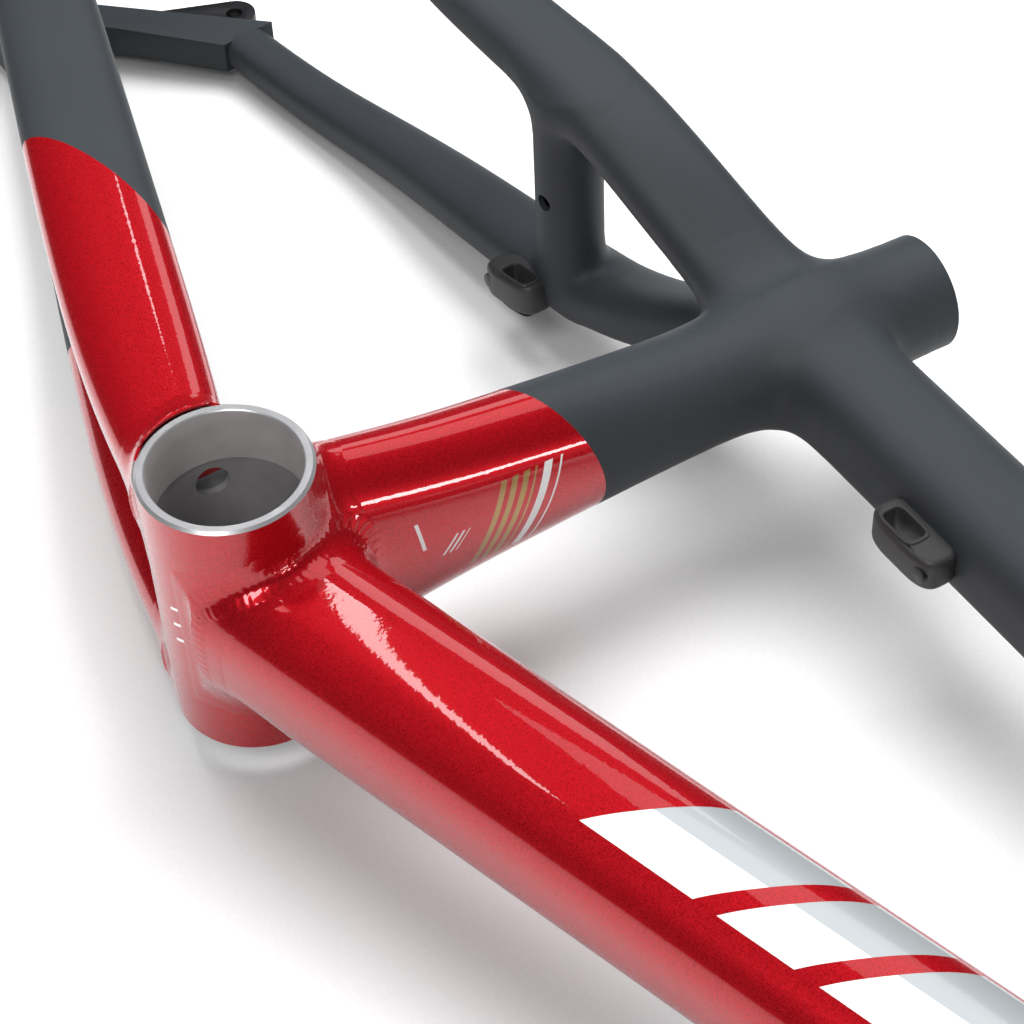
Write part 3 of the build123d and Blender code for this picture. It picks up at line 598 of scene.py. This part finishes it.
down_paint = two_tone(
    "down_tube_red",
    down_edge,
    [(down_bars(BAR_LOW, BAR_SPLIT), BAR_WHITE, 0.0), (down_bars(BAR_SPLIT, BAR_HIGH), BAR_SILVER, 0.3)],
)


class Turned:
    """The head tube's outside: radii at heights about its own leaning axis."""

    def __init__(self, centre, axis, heights, radii):
        self.centre, self.axis, self.heights, self.radii = np.array(centre), axis, heights, radii

    def distance(self, points):
        offset = points - self.centre
        height = offset @ self.axis
        reach = np.linalg.norm(offset - height[:, None] * self.axis, axis=1)
        wall = (reach - np.interp(height, self.heights, self.radii)) * HEAD_LEAN
        return np.maximum(wall, np.abs(height) - self.heights[-1])


HEAD_ANGLE, HEAD_Z, HEAD_HALF, HEAD_LEAN = 74.0, 318.0, 56.0, 0.97
HEAD_BITE, HEAD_REACH = 1.4, 90
HEAD_OUTSIDE = (
    (30.5, -56.0),
    (30.5, -46.0),
    (25.0, -22.0),
    (22.5, -4.0),
    (22.5, 34.0),
    (25.0, 44.0),
    (25.0, 56.0),
)
head_axis = heading(180 - HEAD_ANGLE)
head_centre = np.array([HEAD_X, 0, HEAD_Z])
head_form = Turned(head_centre, head_axis, [h for _, h in HEAD_OUTSIDE], [r for r, _ in HEAD_OUTSIDE])


def head_mitres(tube, wall):
    """The cuts that fit a tube's front end to the head tube."""
    return mitres(tube, head_form, HEAD_BITE, wall, tube.length, tube.length - HEAD_REACH)


down_cut = mitres(down_form, barrel, SHELL_BITE, DOWN_WALL)
down_rows = tube_rows(down_form, down_cut, head_mitres(down_form, DOWN_WALL), DOWN_WALL, LONG_STEP)
tube_piece("down_tube_painted", down_rows, down_paint, ["down_tube"])

# ------------ top tube
# A drawn alloy tube of rounded square section, welded between the seat tube
# and the head tube and powder coated satin black. A brake hose guide is
# screwed up into its underside.
TOP_ANGLE, TOP_RISE, TOP_WALL = 20.9, 176.85, 1.5
TOP_HALF_WIDE, TOP_HALF_HIGH, TOP_SQUARE = 16.25, 16.6, 2.9
SEAT_BITE = 0.7
top_axis = heading(TOP_ANGLE)
top_foot = seat_axis * TOP_RISE
top_run = (HEAD_X - top_foot[0]) / top_axis[0]
top_size = (TOP_HALF_WIDE, TOP_HALF_HIGH, TOP_SQUARE)
top_form = Tube([(*top_foot, *top_size), (*(top_foot + top_axis * top_run), *top_size)])
satin_black = Finish("satin_black")
satin_black = satin_black.finish(black_coat(satin_black))
top_cut = mitres(top_form, seat_form, SEAT_BITE, TOP_WALL)
top_rows = tube_rows(top_form, top_cut, head_mitres(top_form, TOP_WALL), TOP_WALL, LONG_STEP)
tube_piece("top_tube_painted", top_rows, satin_black, ["top_tube"])

# ------------ head tube
# A tapered alloy tube, forged and turned: a wide cup below and a smaller one
# above, each bored for an angular bearing. Black outside, bare in the seats.
HEAD_BORE = (
    (20.97, 56.0),
    (20.97, 49.0),
    (18.6, 46.63),
    (18.6, -16.0),
    (22.52, -44.5),
    (26.02, -48.0),
    (26.02, -56.0),
)
HEAD_EDGE, HEAD_EASE, HEAD_SIDES = 0.5, 5.0, 128


def eased(profile, radius):
    """A profile whose inner corners are rounded a little, in three points."""
    out = [profile[0]]
    for before, corner, after in zip(profile, profile[1:], profile[2:]):
        corner, before, after = np.array(corner), np.array(before), np.array(after)
        reach = min(radius, *(0.45 * np.linalg.norm(other - corner) for other in (before, after)))
        first = corner + (before - corner) * reach / np.linalg.norm(before - corner)
        last = corner + (after - corner) * reach / np.linalg.norm(after - corner)
        out += [tuple(first), tuple(corner * 0.5 + first * 0.25 + last * 0.25), tuple(last)]
    return out + [profile[-1]]


low_r, high_r = HEAD_OUTSIDE[0][0], HEAD_OUTSIDE[-1][0]
outside = [(low_r - HEAD_EDGE, -HEAD_HALF), (low_r, -HEAD_HALF + HEAD_EDGE), *HEAD_OUTSIDE[1:-1]]
outside += [(high_r, HEAD_HALF - HEAD_EDGE), (high_r - HEAD_EDGE, HEAD_HALF)]
outside = eased(outside, HEAD_EASE)
high_r, low_r = HEAD_BORE[0][0], HEAD_BORE[-1][0]
inside = [(high_r + HEAD_EDGE, HEAD_HALF), (high_r, HEAD_HALF - HEAD_EDGE), *HEAD_BORE[1:-1]]
inside += [(low_r, -HEAD_HALF + HEAD_EDGE), (low_r + HEAD_EDGE, -HEAD_HALF)]
head_profile = outside + inside
head_turns = np.linspace(0, 2 * math.pi, HEAD_SIDES, endpoint=False)
head_front = np.cross([0, 1.0, 0], head_axis)
head_points = [
    head_centre + head_axis * h + r * (math.cos(t) * head_front + math.sin(t) * np.array([0, 1.0, 0]))
    for r, h in head_profile
    for t in head_turns
]
head_picks = [int(i >= len(outside) - 1) for i in range(len(head_profile)) for _ in head_turns]
place_piece(
    "head_tube_painted",
    head_points,
    ring_faces(len(head_profile), HEAD_SIDES),
    "frame",
    [satin_black, reamed_alloy],
    ["head_tube"],
    head_picks,
)

# ------------ chainstays
# A pair of formed alloy stays, deep behind the shell and slimmer towards the
# dropouts. The front third is red and the rest black, masked on a curve.
CHAIN_ROOT, CHAIN_END = (-7.8, 31.0, -10.5), (-327.68, 61.0, -44.0)
CHAIN_DIP, CHAIN_DIP_SHARE = 3.5, 3.0
CHAIN_SHAPE = (
    (0, 0, 28, 20),
    (0.11, 0.03, 33, 20),
    (0.33, 0.22, 34.5, 18.5),
    (0.60, 0.55, 31, 17),
    (1, 1, 24, 14),
)
STAY_SQUARE, STAY_WALL, STAY_STEP = 2.7, 1.5, 5.0
CHAIN_RED_X, CHAIN_RED_Z, CHAIN_RED_SLANT, CHAIN_RED_BOW = -142.0, -43.0, 0.427, 0.019
chain_stations = []
for run, spread, high, wide in CHAIN_SHAPE:
    x, y, z = (a + (b - a) * share for a, b, share in zip(CHAIN_ROOT, CHAIN_END, (run, spread, run)))
    dip = CHAIN_DIP * math.sin(math.pi * min(1, CHAIN_DIP_SHARE * run) / 2) * (1 - run)
    chain_stations.append((x, y, z - dip, wide / 2, high / 2, STAY_SQUARE))


def mirrored(stations):
    return [(x, -y, *rest) for x, y, *rest in stations]


def chain_edge(finish):
    rise = finish.math("SUBTRACT", finish.along((0, 0, 1)), CHAIN_RED_Z)
    bow = finish.math("MULTIPLY", finish.math("MULTIPLY", rise, rise), CHAIN_RED_BOW)
    slant = finish.math("MULTIPLY", rise, CHAIN_RED_SLANT)
    line = finish.math("ADD", finish.math("ADD", slant, CHAIN_RED_X), bow)
    return finish.math("SUBTRACT", finish.along((1, 0, 0)), line)


chain_paint = two_tone("chainstay_two_tone", chain_edge)
chain_forms = {"left": Tube(chain_stations), "right": Tube(mirrored(chain_stations))}
for side, form in chain_forms.items():
    cut = mitres(form, barrel, SHELL_BITE, STAY_WALL)
    end = [np.full(TUBE_SIDES, form.length)] * 2
    rows = tube_rows(form, cut, end, STAY_WALL, STAY_STEP)
    tube_piece(f"chainstay_{side}_painted", rows, chain_paint, [f"chainstay_{side}"])

# ------------ seatstays
# A pair of formed alloy stays that leave the seat tube together, bow apart
# over the wheel and run down to the dropouts. Satin black, like the bridge.
STAY_ROOT, STAY_END, STAY_REACH = (-57.3, 0.0, 168.3), (-317.68, 61.0, 31.0), 40.0
STAY_SHAPE = (
    (0, 0.07, 0, 30, 19),
    (0.065, 0.17, 0.07, 30, 19),
    (0.16, 0.39, 0.18, 29.5, 19),
    (0.277, 0.60, 0.30, 28.5, 18.5),
    (0.41, 0.69, 0.43, 26.5, 18),
    (0.545, 0.76, 0.555, 24.5, 17),
    (0.70, 0.89, 0.69, 21.5, 16),
    (0.854, 0.975, 0.85, 18.5, 15),
    (1, 1, 1, 17, 14),
)
stay_stations = []
for run, spread, fall, high, wide in STAY_SHAPE:
    x, y, z = (a + (b - a) * share for a, b, share in zip(STAY_ROOT, STAY_END, (run, spread, fall)))
    stay_stations.append((x, y, z, wide / 2, high / 2, STAY_SQUARE))
stay_forms = {"left": Tube(stay_stations), "right": Tube(mirrored(stay_stations))}
for side, form in stay_forms.items():
    cut = mitres(form, seat_form, SEAT_BITE, STAY_WALL, high=STAY_REACH)
    end = [np.full(TUBE_SIDES, form.length)] * 2
    rows = tube_rows(form, cut, end, STAY_WALL, STAY_STEP)
    way = 1 if side == "left" else -1
    rows[..., 1] = way * np.maximum(rows[..., 1] * way, 0.0)
    tube_piece(f"seatstay_{side}_painted", rows, satin_black, [f"seatstay_{side}"])

# ------------ bridge
# A short round tube between the seatstays, which stiffens them over the
# wheel. A small hole below lets gas and water out of it.
BRIDGE_X, BRIDGE_Y, BRIDGE_Z = -139.5, 38.0, 117.2
BRIDGE_R, BRIDGE_WALL, BRIDGE_BITE = 10.7, 2.0, 1.2
BRIDGE_HOLE_R, BRIDGE_HOLE_HEADING = 2.75, 300.0
bridge_form = Tube([(BRIDGE_X, y, BRIDGE_Z, BRIDGE_R, BRIDGE_R, ROUND) for y in (-BRIDGE_Y, 0.0, BRIDGE_Y)])
bridge_ends = [
    mitres(bridge_form, stay_forms[side], BRIDGE_BITE, BRIDGE_WALL, start, BRIDGE_Y)
    for side, start in (("right", 0.0), ("left", 2 * BRIDGE_Y))
]
bridge_rows = tube_rows(bridge_form, *bridge_ends, BRIDGE_WALL)
bridge = tube_piece("bridge_painted", bridge_rows, satin_black, ["seatstay_bridge"])
bored(bridge, (BRIDGE_X, 0, BRIDGE_Z), heading(BRIDGE_HOLE_HEADING), BRIDGE_HOLE_R, 2 * BRIDGE_R)

# ------------ welds, dressed
# The joints are welded all round and then filed smooth before painting, so
# the metal runs from tube to tube in soft hollows with no edge showing.
SKIN_GRID, SKIN_THICK, SKIN_PROUD, SKIN_TUCK = 1.5, 0.8, 0.07, 0.12
NEAR, FAR, NUDGE, LONGEST_MOVE = -40, 60, 0.15, 1.5
plain_red = Finish("plain_red")
plain_red = plain_red.finish(red_coat(plain_red))


def blended(points, members, softness):
    """Distance to the joined members, with the corners between them filled."""
    total = 0
    for member in members:
        total = total + np.exp(-np.clip(member.distance(points), NEAR, FAR) / softness)
    return -softness * np.log(total)


def settled(points, members, softness, turns_of_it=4):
    """Moves points onto the blended surface, and gives the way it faces there."""
    for _ in range(turns_of_it):
        slope = np.empty_like(points)
        for axis in range(3):
            step = np.zeros(3)
            step[axis] = NUDGE
            ahead, behind = (blended(points + way * step, members, softness) for way in (1, -1))
            slope[:, axis] = (ahead - behind) / (2 * NUDGE)
        steep = (slope**2).sum(1)[:, None] + TINY
        move = blended(points, members, softness)[:, None] * slope / steep
        points = points - np.clip(move, -LONGEST_MOVE, LONGEST_MOVE)
    return points, slope / np.sqrt(steep)


def dressed_joint(name, members, softness, low, high, slot, material, bound=None):
    """A thin closed skin over the corners of a joint, tucked in at its border."""
    low, high = np.array(low, float), np.array(high, float)
    counts = np.ceil((high - low) / SKIN_GRID).astype(int) + 1
    grids = np.meshgrid(*(low[i] + SKIN_GRID * np.arange(counts[i]) for i in range(3)), indexing="ij")
    values = blended(np.stack(grids, -1).reshape(-1, 3), members, softness).reshape(counts)
    field = openvdb.FloatGrid(3 * SKIN_GRID)
    field.copyFromArray(np.clip(values, -3 * SKIN_GRID, 3 * SKIN_GRID))
    points, quads = field.convertToQuads(isovalue=0.0)
    points = points.astype(float) * SKIN_GRID + low
    points, ways = settled(points, members, softness)
    proud = np.min([member.distance(points) for member in members], axis=0)
    keep = proud > SKIN_PROUD
    if bound is not None:
        keep &= bound(points)
    keep &= np.all((points > low + SKIN_GRID) & (points < high - SKIN_GRID), axis=1)
    quads = quads[keep[quads].any(1)] if bound is None else quads[keep[quads].all(1)]
    used = np.unique(quads)
    renumber = np.zeros(len(points), int)
    renumber[used] = np.arange(len(used))
    quads, points, ways = renumber[quads], points[used], ways[used]
    edges = np.sort(np.concatenate([quads[:, [i, (i + 1) % 4]] for i in range(4)]), axis=1)
    pairs, times = np.unique(edges, axis=0, return_counts=True)
    border = np.unique(pairs[times == 1])
    points[border] -= ways[border] * SKIN_TUCK
    under = points - ways * SKIN_THICK
    offset = len(points)
    faces = [tuple(q) for q in quads] + [tuple(q[::-1] + offset) for q in quads]
    open_edges = {tuple(p) for p in pairs[times == 1]}
    for q in quads:
        for a, b in zip(q, np.roll(q, -1)):
            if (min(a, b), max(a, b)) in open_edges:
                faces.append((b, a, a + offset, b + offset))
    faces = [tuple(int(i) for i in f) for f in faces]
    picks = [0] * len(quads) + [1] * (len(faces) - len(quads))
    both = np.concatenate([points, under])
    return place_piece(name, both, faces, "frame", [material, reamed_alloy], (), picks)


def inside_ends(points):
    return np.abs(points[:, 1]) < BB_HALF - BB_CHAMFER


SHELL_SOFT, SEAT_SOFT, HEAD_SOFT, BRIDGE_SOFT = 2.6, 4.2, 2.6, 2.8
SHELL_BOX = (-66, -46, -48), (54, 46, 46)
SEAT_BOX = (-130, -44, 110), (6, 44, 214)
HEAD_BOX = (318, -34, 236), (412, 34, 366)
BRIDGE_BOX = (-172, -52, 84), (-106, 52, 150)
both_stays = [stay_forms["left"], stay_forms["right"]]
shell_members = [barrel, seat_form, down_form, chain_forms["left"], chain_forms["right"]]
seat_members = [seat_form, top_form, *both_stays]
head_members = [head_form, top_form, down_form]
bridge_members = [bridge_form, *both_stays]
head_paint = two_tone("head_joint_two_tone", down_edge)
dressed_joint("shell_joint_metal", shell_members, SHELL_SOFT, *SHELL_BOX, "red_paint", plain_red, inside_ends)
dressed_joint("seat_joint_metal", seat_members, SEAT_SOFT, *SEAT_BOX, "black_paint", satin_black)
dressed_joint("head_joint_metal", head_members, HEAD_SOFT, *HEAD_BOX, "black_paint", head_paint)
dressed_joint("bridge_metal", bridge_members, BRIDGE_SOFT, *BRIDGE_BOX, "black_paint", satin_black)

# ------------ welds, ribbed
# Where the down tube and the chainstays meet the shell, the bead is left as
# the torch laid it: a row of small overlapping ripples, under the paint.
BEAD_PITCH, BEAD_HIGH, BEAD_LIFT, BEAD_STEP = 2.3, 0.05, 0.2, 0.55
BEAD_STRIPS, BEAD_CROWN, BEAD_TRAIL, BEAD_TUCK, BEAD_THICK = 11, 0.6, 0.32, 0.12, 0.9


def bead(name, tube, cut, members, softness, wide, material, shift=0.0):
    """A rippled bead along the seam of a tube with another member."""
    seam, _ = tube.skin(cut, TUBE_TURNS)
    for _ in range(2):
        seam = (np.roll(seam, 1, 0) + 2 * seam + np.roll(seam, -1, 0)) / 4
    seam, _ = settled(seam, members, softness)
    gaps = np.linalg.norm(np.roll(seam, -1, 0) - seam, axis=1)
    run = np.r_[0, np.cumsum(gaps)]
    ripples = round(run[-1] / BEAD_PITCH)
    count = round(run[-1] / BEAD_STEP)
    places = np.linspace(0, run[-1], count, endpoint=False)
    closed = np.vstack([seam, seam[:1]])
    line = np.stack([np.interp(places, run, closed[:, i]) for i in range(3)], 1)
    line, ways = settled(line, members, softness, 2)
    ahead = np.roll(line, -2, 0) - np.roll(line, 2, 0)
    across = np.cross(ahead, ways)
    across /= np.linalg.norm(across, axis=1)[:, None] + TINY
    over, under = [], []
    for share in np.linspace(-1, 1, BEAD_STRIPS):
        strip, face = settled(line + across * (share * wide + shift), members, softness, 3)
        phase = 2 * math.pi * (places / run[-1] * ripples + BEAD_TRAIL * share**2)
        crown = (1 - share**2) ** BEAD_CROWN
        lift = crown * (BEAD_LIFT + BEAD_HIGH * np.cos(phase)) - BEAD_TUCK
        over.append(strip + face * lift[:, None])
        under.append(strip - face * BEAD_THICK)
    rows = np.array(over + under[::-1])
    return place_piece(name, rows, ring_faces(len(rows), count), "frame", [material])


bead_seams = (
    ("down_tube_shell_bead", down_form, 3.0, 2.6),
    ("down_tube_face_bead", down_form, 2.6, -2.6),
    ("chainstay_left_bead", chain_forms["left"], 2.6, 0.0),
    ("chainstay_right_bead", chain_forms["right"], 2.6, 0.0),
)
for name, tube, wide, shift in bead_seams:
    cut = mitred(tube, barrel, 0.0)
    bead(name, tube, cut, shell_members, SHELL_SOFT, wide, plain_red, shift)

# ------------ dropouts, blocks
# Machined alloy dropouts with a long slot, closed behind by a bolted cap, in
# which a block that carries the axle slides. The left block also carries the
# disc brake's mount. Every outer edge is eased for handling and the coating.
SAME_POINT, FLAT, EDGE, CRISP_EDGE = 0.01, math.radians(2), math.radians(38), math.radians(30)
ANODISED_BLACKS = (0.014, 0.014, 0.016, 1), (0.026, 0.026, 0.029, 1)


def eased_copy(node, name, body, material, width, steps=2):
    """The node's own solid, cleaned and with its edges rounded."""
    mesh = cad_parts[node].data.copy()
    solid = bmesh.new()
    solid.from_mesh(mesh)
    bmesh.ops.remove_doubles(solid, verts=solid.verts, dist=SAME_POINT * MM)
    bmesh.ops.dissolve_limit(solid, angle_limit=FLAT, verts=solid.verts, edges=solid.edges)
    solid.to_mesh(mesh)
    solid.free()
    mesh.materials.clear()
    mesh.materials.append(material)
    piece = put(name, mesh)
    round_off = piece.modifiers.new("eased", "BEVEL")
    round_off.width = width * MM
    round_off.segments = steps
    round_off.limit_method = "ANGLE"
    round_off.angle_limit = EDGE
    bpy.context.view_layer.update()
    baked(piece)
    piece.data.shade_smooth()
    piece.data.set_sharp_from_angle(angle=CRISP_EDGE)
    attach(piece, body)
    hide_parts(node)
    return piece


def clouded(name, patch, colours, rough, grain, relief, metallic=0.0):
    """A finish that wanders between two colours in patches, over a fine grain."""
    finish = Finish(name)
    cloud = finish.noise(*patch)
    coat = {
        "Base Color": finish.tint(cloud, *colours),
        "Metallic": metallic,
        "Roughness": finish.spread(cloud, *rough),
        "Normal": finish.bump(finish.noise(*grain), relief),
    }
    return finish.finish(finish.add("BsdfPrincipled", coat).outputs[0])


cut_alloy = machined("milled_alloy", (0.66, 0.66, 0.67, 1), 0.36, ring_axis=(0.2, 1.0, 1.0))
anodised = clouded("black_anodised", (6.0, 4.0), ANODISED_BLACKS, (0.30, 0.44), (0.25, 2.0), 0.008, 0.55)
for side in ("left", "right"):
    eased_copy(f"dropout_{side}", f"dropout_{side}_painted", "frame", satin_black, 1.0, 3)
    block = f"axle_block_{side}"
    eased_copy(f"axle_slider_{side}", f"{block}_milled", block, cut_alloy, 0.35)
    eased_copy(f"end_cap_{side}", f"end_cap_{side}_anodised", "frame", anodised, 0.6)
eased_copy("disc_mount", "disc_mount_anodised", "axle_block_left", anodised, 0.6)

# ------------ hose guides
# Small guides moulded in tough black plastic, each screwed under a tube, with
# a slot through which a tie holds the brake hose.
GUIDE_HALF_WIDE, GUIDE_DEEP, GUIDE_SINK, GUIDE_ROUND = 6.0, 10.5, 3.0, 2.2
GUIDE_SLOT, GUIDE_SLOT_DEEP, GUIDE_SLOT_BACK = 12.0, 6.2, 1 / 9
GUIDE_SIDES, GUIDE_RIM_RINGS, GUIDE_FACE_DROP = 64, 6, 0.5
GUIDE_SQUARE, SLOT_SQUARE, LIP_SQUARE = 3.2, 5.0, 4.0
LIP_LONG, LIP_DEEP = 1.5, 1.2
LIP_SHAPE = ((1.0, 0.5), (0.82, 0.1), (0.55, 0.0), (0.2, 0.15), (0.0, 0.6))
TOP_GUIDE_RUN, TOP_GUIDE_LONG, STAY_GUIDE_SHARE, STAY_GUIDE_LONG = 80.0, 27.0, 0.6, 24.0
MOULDED_BLACKS = (0.014, 0.014, 0.015, 1), (0.024, 0.024, 0.025, 1)
moulded = clouded("moulded_black", (0.5, 3.0), MOULDED_BLACKS, (0.42, 0.58), (0.5, 3.0), 0.02)


def loop_outline(half_long, low, high, square, centre):
    """Points round a closed D shape, as (along, below) pairs."""
    t = np.linspace(0, 2 * math.pi, GUIDE_SIDES, endpoint=False)
    reach = (np.abs(np.cos(t)) ** square + np.abs(np.sin(t)) ** square) ** (-1 / square)
    below = (low + high) / 2 + (high - low) / 2 * reach * np.sin(t)
    return np.stack([centre + half_long * reach * np.cos(t), below], 1)


def hose_guide(node, at, along, tube_up, long):
    """A loop with rounded rims and a raised lip round its slot, both sides."""
    across = np.cross(along, tube_up)
    outer = loop_outline(long / 2, -GUIDE_DEEP, GUIDE_SINK, GUIDE_SQUARE, 0.0)
    slot_at = -long * GUIDE_SLOT_BACK
    low, high = (-GUIDE_DEEP / 2 + way * GUIDE_SLOT_DEEP / 2 for way in (-1, 1))
    slot = loop_outline(GUIDE_SLOT / 2, low, high, SLOT_SQUARE, slot_at)
    lip = loop_outline(GUIDE_SLOT / 2 + LIP_LONG, low - LIP_DEEP, high + LIP_DEEP, LIP_SQUARE, slot_at)
    centre = outer.mean(0)
    inwards = (centre - outer) / np.linalg.norm(centre - outer, axis=1)[:, None]
    rings = []
    for turn in np.linspace(0, math.pi / 2, GUIDE_RIM_RINGS):
        rim = outer + inwards * GUIDE_ROUND * (1 - math.cos(turn))
        rings.append((rim, GUIDE_HALF_WIDE - GUIDE_FACE_DROP - GUIDE_ROUND * (1 - math.sin(turn))))
    for share, drop in LIP_SHAPE:
        rings.append((slot + (lip - slot) * share, GUIDE_HALF_WIDE - drop))
    rings += [(edge, -level) for edge, level in rings[::-1]]
    rows = [[at + along * a + tube_up * b + across * level for a, b in edge] for edge, level in rings]
    faces = ring_faces(len(rows), GUIDE_SIDES)
    return place_piece(f"{node}_moulded", rows, faces, "frame", [moulded], [node])


top_up = heading(TOP_ANGLE + 90)
guide_at = top_foot + top_axis * TOP_GUIDE_RUN - top_up * TOP_HALF_HIGH
hose_guide("top_tube_hose_guide", guide_at, top_axis, top_up, TOP_GUIDE_LONG)
first, last = (np.array(stay_stations[i][:3]) for i in (3, 4))
stay_along = (last - first) / np.linalg.norm(last - first)
stay_across = np.cross([0, 0, 1.0], stay_along)
stay_up = np.cross(stay_along, stay_across / np.linalg.norm(stay_across))
stay_half = (stay_stations[3][4] + stay_stations[4][4]) / 2
guide_at = first * (1 - STAY_GUIDE_SHARE) + last * STAY_GUIDE_SHARE - stay_up * stay_half
hose_guide("seatstay_hose_guide", guide_at, stay_along, stay_up, STAY_GUIDE_LONG)

# ------------ fixings
# Zinc plated steel: the two axle adjusters with their retaining clips, the
# cap bolts and the disc mount's bolts. The hose guides' screws are blackened.
ZINCS = (0.60, 0.60, 0.61, 1), (0.42, 0.42, 0.44, 1)
zinc = clouded("zinc_plate", (2.5, 4.0), ZINCS, (0.24, 0.42), (0.4, 3.0), 0.01, 1.0)
for side in ("left", "right"):
    for node, body, width in (
        (f"adjuster_screw_{side}", f"adjuster_{side}", 0.25),
        (f"adjuster_clip_{side}", f"adjuster_{side}", 0.12),
        (f"end_cap_bolts_{side}", "frame", 0.25),
    ):
        eased_copy(node, f"{node}_plated", body, zinc, width)
eased_copy("disc_mount_bolts", "disc_mount_bolts_plated", "axle_block_left", zinc, 0.25)
for node in ("top_tube_guide_screw", "seatstay_guide_screw"):
    eased_copy(node, f"{node}_blackened", "frame", anodised, 0.2)

# ------------ studio
# A cloth-covered table under the frame's left side, seen from above only. It
# is lit up to white by a big ceiling lamp, in a white room. One long narrow
# lamp draws the streak along the tubes, and the others are soft fills.
TABLE_Y_REAR, TABLE_X_REAR, TABLE_TILT, TABLE_SIZE = 0.0757, -0.384, -3.15, 6.0
CLOTH_GREYS, WEAVE = ((0.51, 0.51, 0.515, 1), (0.56, 0.56, 0.565, 1)), 1.4
table_mesh = bmesh.new()
bmesh.ops.create_grid(table_mesh, x_segments=1, y_segments=1, size=TABLE_SIZE)
mesh = bpy.data.meshes.new("table")
table_mesh.to_mesh(mesh)
table_mesh.free()
table = put("table", mesh)
table_turn = Matrix.Rotation(math.radians(TABLE_TILT), 4, "Z") @ Matrix.Rotation(math.radians(90), 4, "X")
table.matrix_world = Matrix.Translation((TABLE_X_REAR, TABLE_Y_REAR, 0)) @ table_turn
cloth = Finish("white_cloth")
weave = cloth.noise(WEAVE, 2.0)
woven = {
    "Base Color": cloth.tint(weave, *CLOTH_GREYS),
    "Roughness": 0.9,
    "Normal": cloth.bump(weave, 0.05),
}
one_sided = {
    0: cloth.add("NewGeometry").outputs["Backfacing"],
    1: cloth.add("BsdfPrincipled", woven).outputs[0],
    2: cloth.add("BsdfTransparent").outputs[0],
}
table.data.materials.append(cloth.finish(cloth.add("MixShader", one_sided).outputs[0]))

ROOM_SEEN, ROOM_LIGHT, ROOM_GLOSS = 1.0, 0.52, 0.03
world = bpy.data.worlds.new("white_room")
world.use_nodes = True
room = world.node_tree
path = room.nodes.new("ShaderNodeLightPath")
lights = []
for strength in (ROOM_LIGHT, ROOM_GLOSS, ROOM_SEEN):
    light = room.nodes.new("ShaderNodeBackground")
    light.inputs["Strength"].default_value = strength
    light.inputs["Color"].default_value = (1.0, 1.0, 1.0, 1)
    lights.append(light.outputs[0])
mixed = lights[0]
for kind, light in (("Is Glossy Ray", lights[1]), ("Is Camera Ray", lights[2])):
    mix = room.nodes.new("ShaderNodeMixShader")
    room.links.new(path.outputs[kind], mix.inputs[0])
    room.links.new(mixed, mix.inputs[1])
    room.links.new(light, mix.inputs[2])
    mixed = mix.outputs[0]
room.links.new(mixed, room.nodes["World Output"].inputs["Surface"])
bpy.context.scene.world = world
bpy.context.scene.view_settings.view_transform = "Standard"


def soft_lamp(name, at, along, wide, high, watts):
    """A soft box aimed at the frame, its width lying along a direction."""
    lamp = bpy.data.lights.new(name, "AREA")
    lamp.shape = "RECTANGLE"
    lamp.size, lamp.size_y, lamp.energy = wide, high, watts
    holder = put(name, lamp)
    away = Vector(at).normalized()
    across = (Vector(along) - away * away.dot(along)).normalized()
    turn = Matrix((across, away.cross(across), away)).transposed().to_4x4()
    holder.matrix_world = Matrix.Translation(at) @ turn
    holder.visible_camera = False
    return holder


soft_lamp("streak_lamp", (-0.77, -1.36, -0.09), (0.58, -0.3, -0.46), 1.0, 0.055, 1.5)
soft_lamp("overhead_lamp", (-0.76, -1.46, 0.74), (1, 0, 0), 0.9, 0.8, 3)
soft_lamp("rear_lamp", (-1.34, -0.87, 0.60), (0, 0, 1), 0.5, 0.4, 1.2)
soft_lamp("low_lamp", (1.31, -0.28, 1.24), (0.7, 0, -0.7), 0.5, 0.10, 3)
soft_lamp("front_lamp", (1.0, -1.6, -0.6), (0, 0, 1), 0.8, 0.8, 20)
soft_lamp("under_lamp", (-0.3, 1.8, 0.3), (1, 0, 0), 1.4, 1.4, 14)
ceiling = soft_lamp("ceiling_lamp", (-0.85, -1.75, 0.3), (0, 0, 1), 1.8, 1.6, 94)
ceiling.visible_glossy = False

# ------------ scene update
# Brings every object's placement up to date.
bpy.context.view_layer.update()
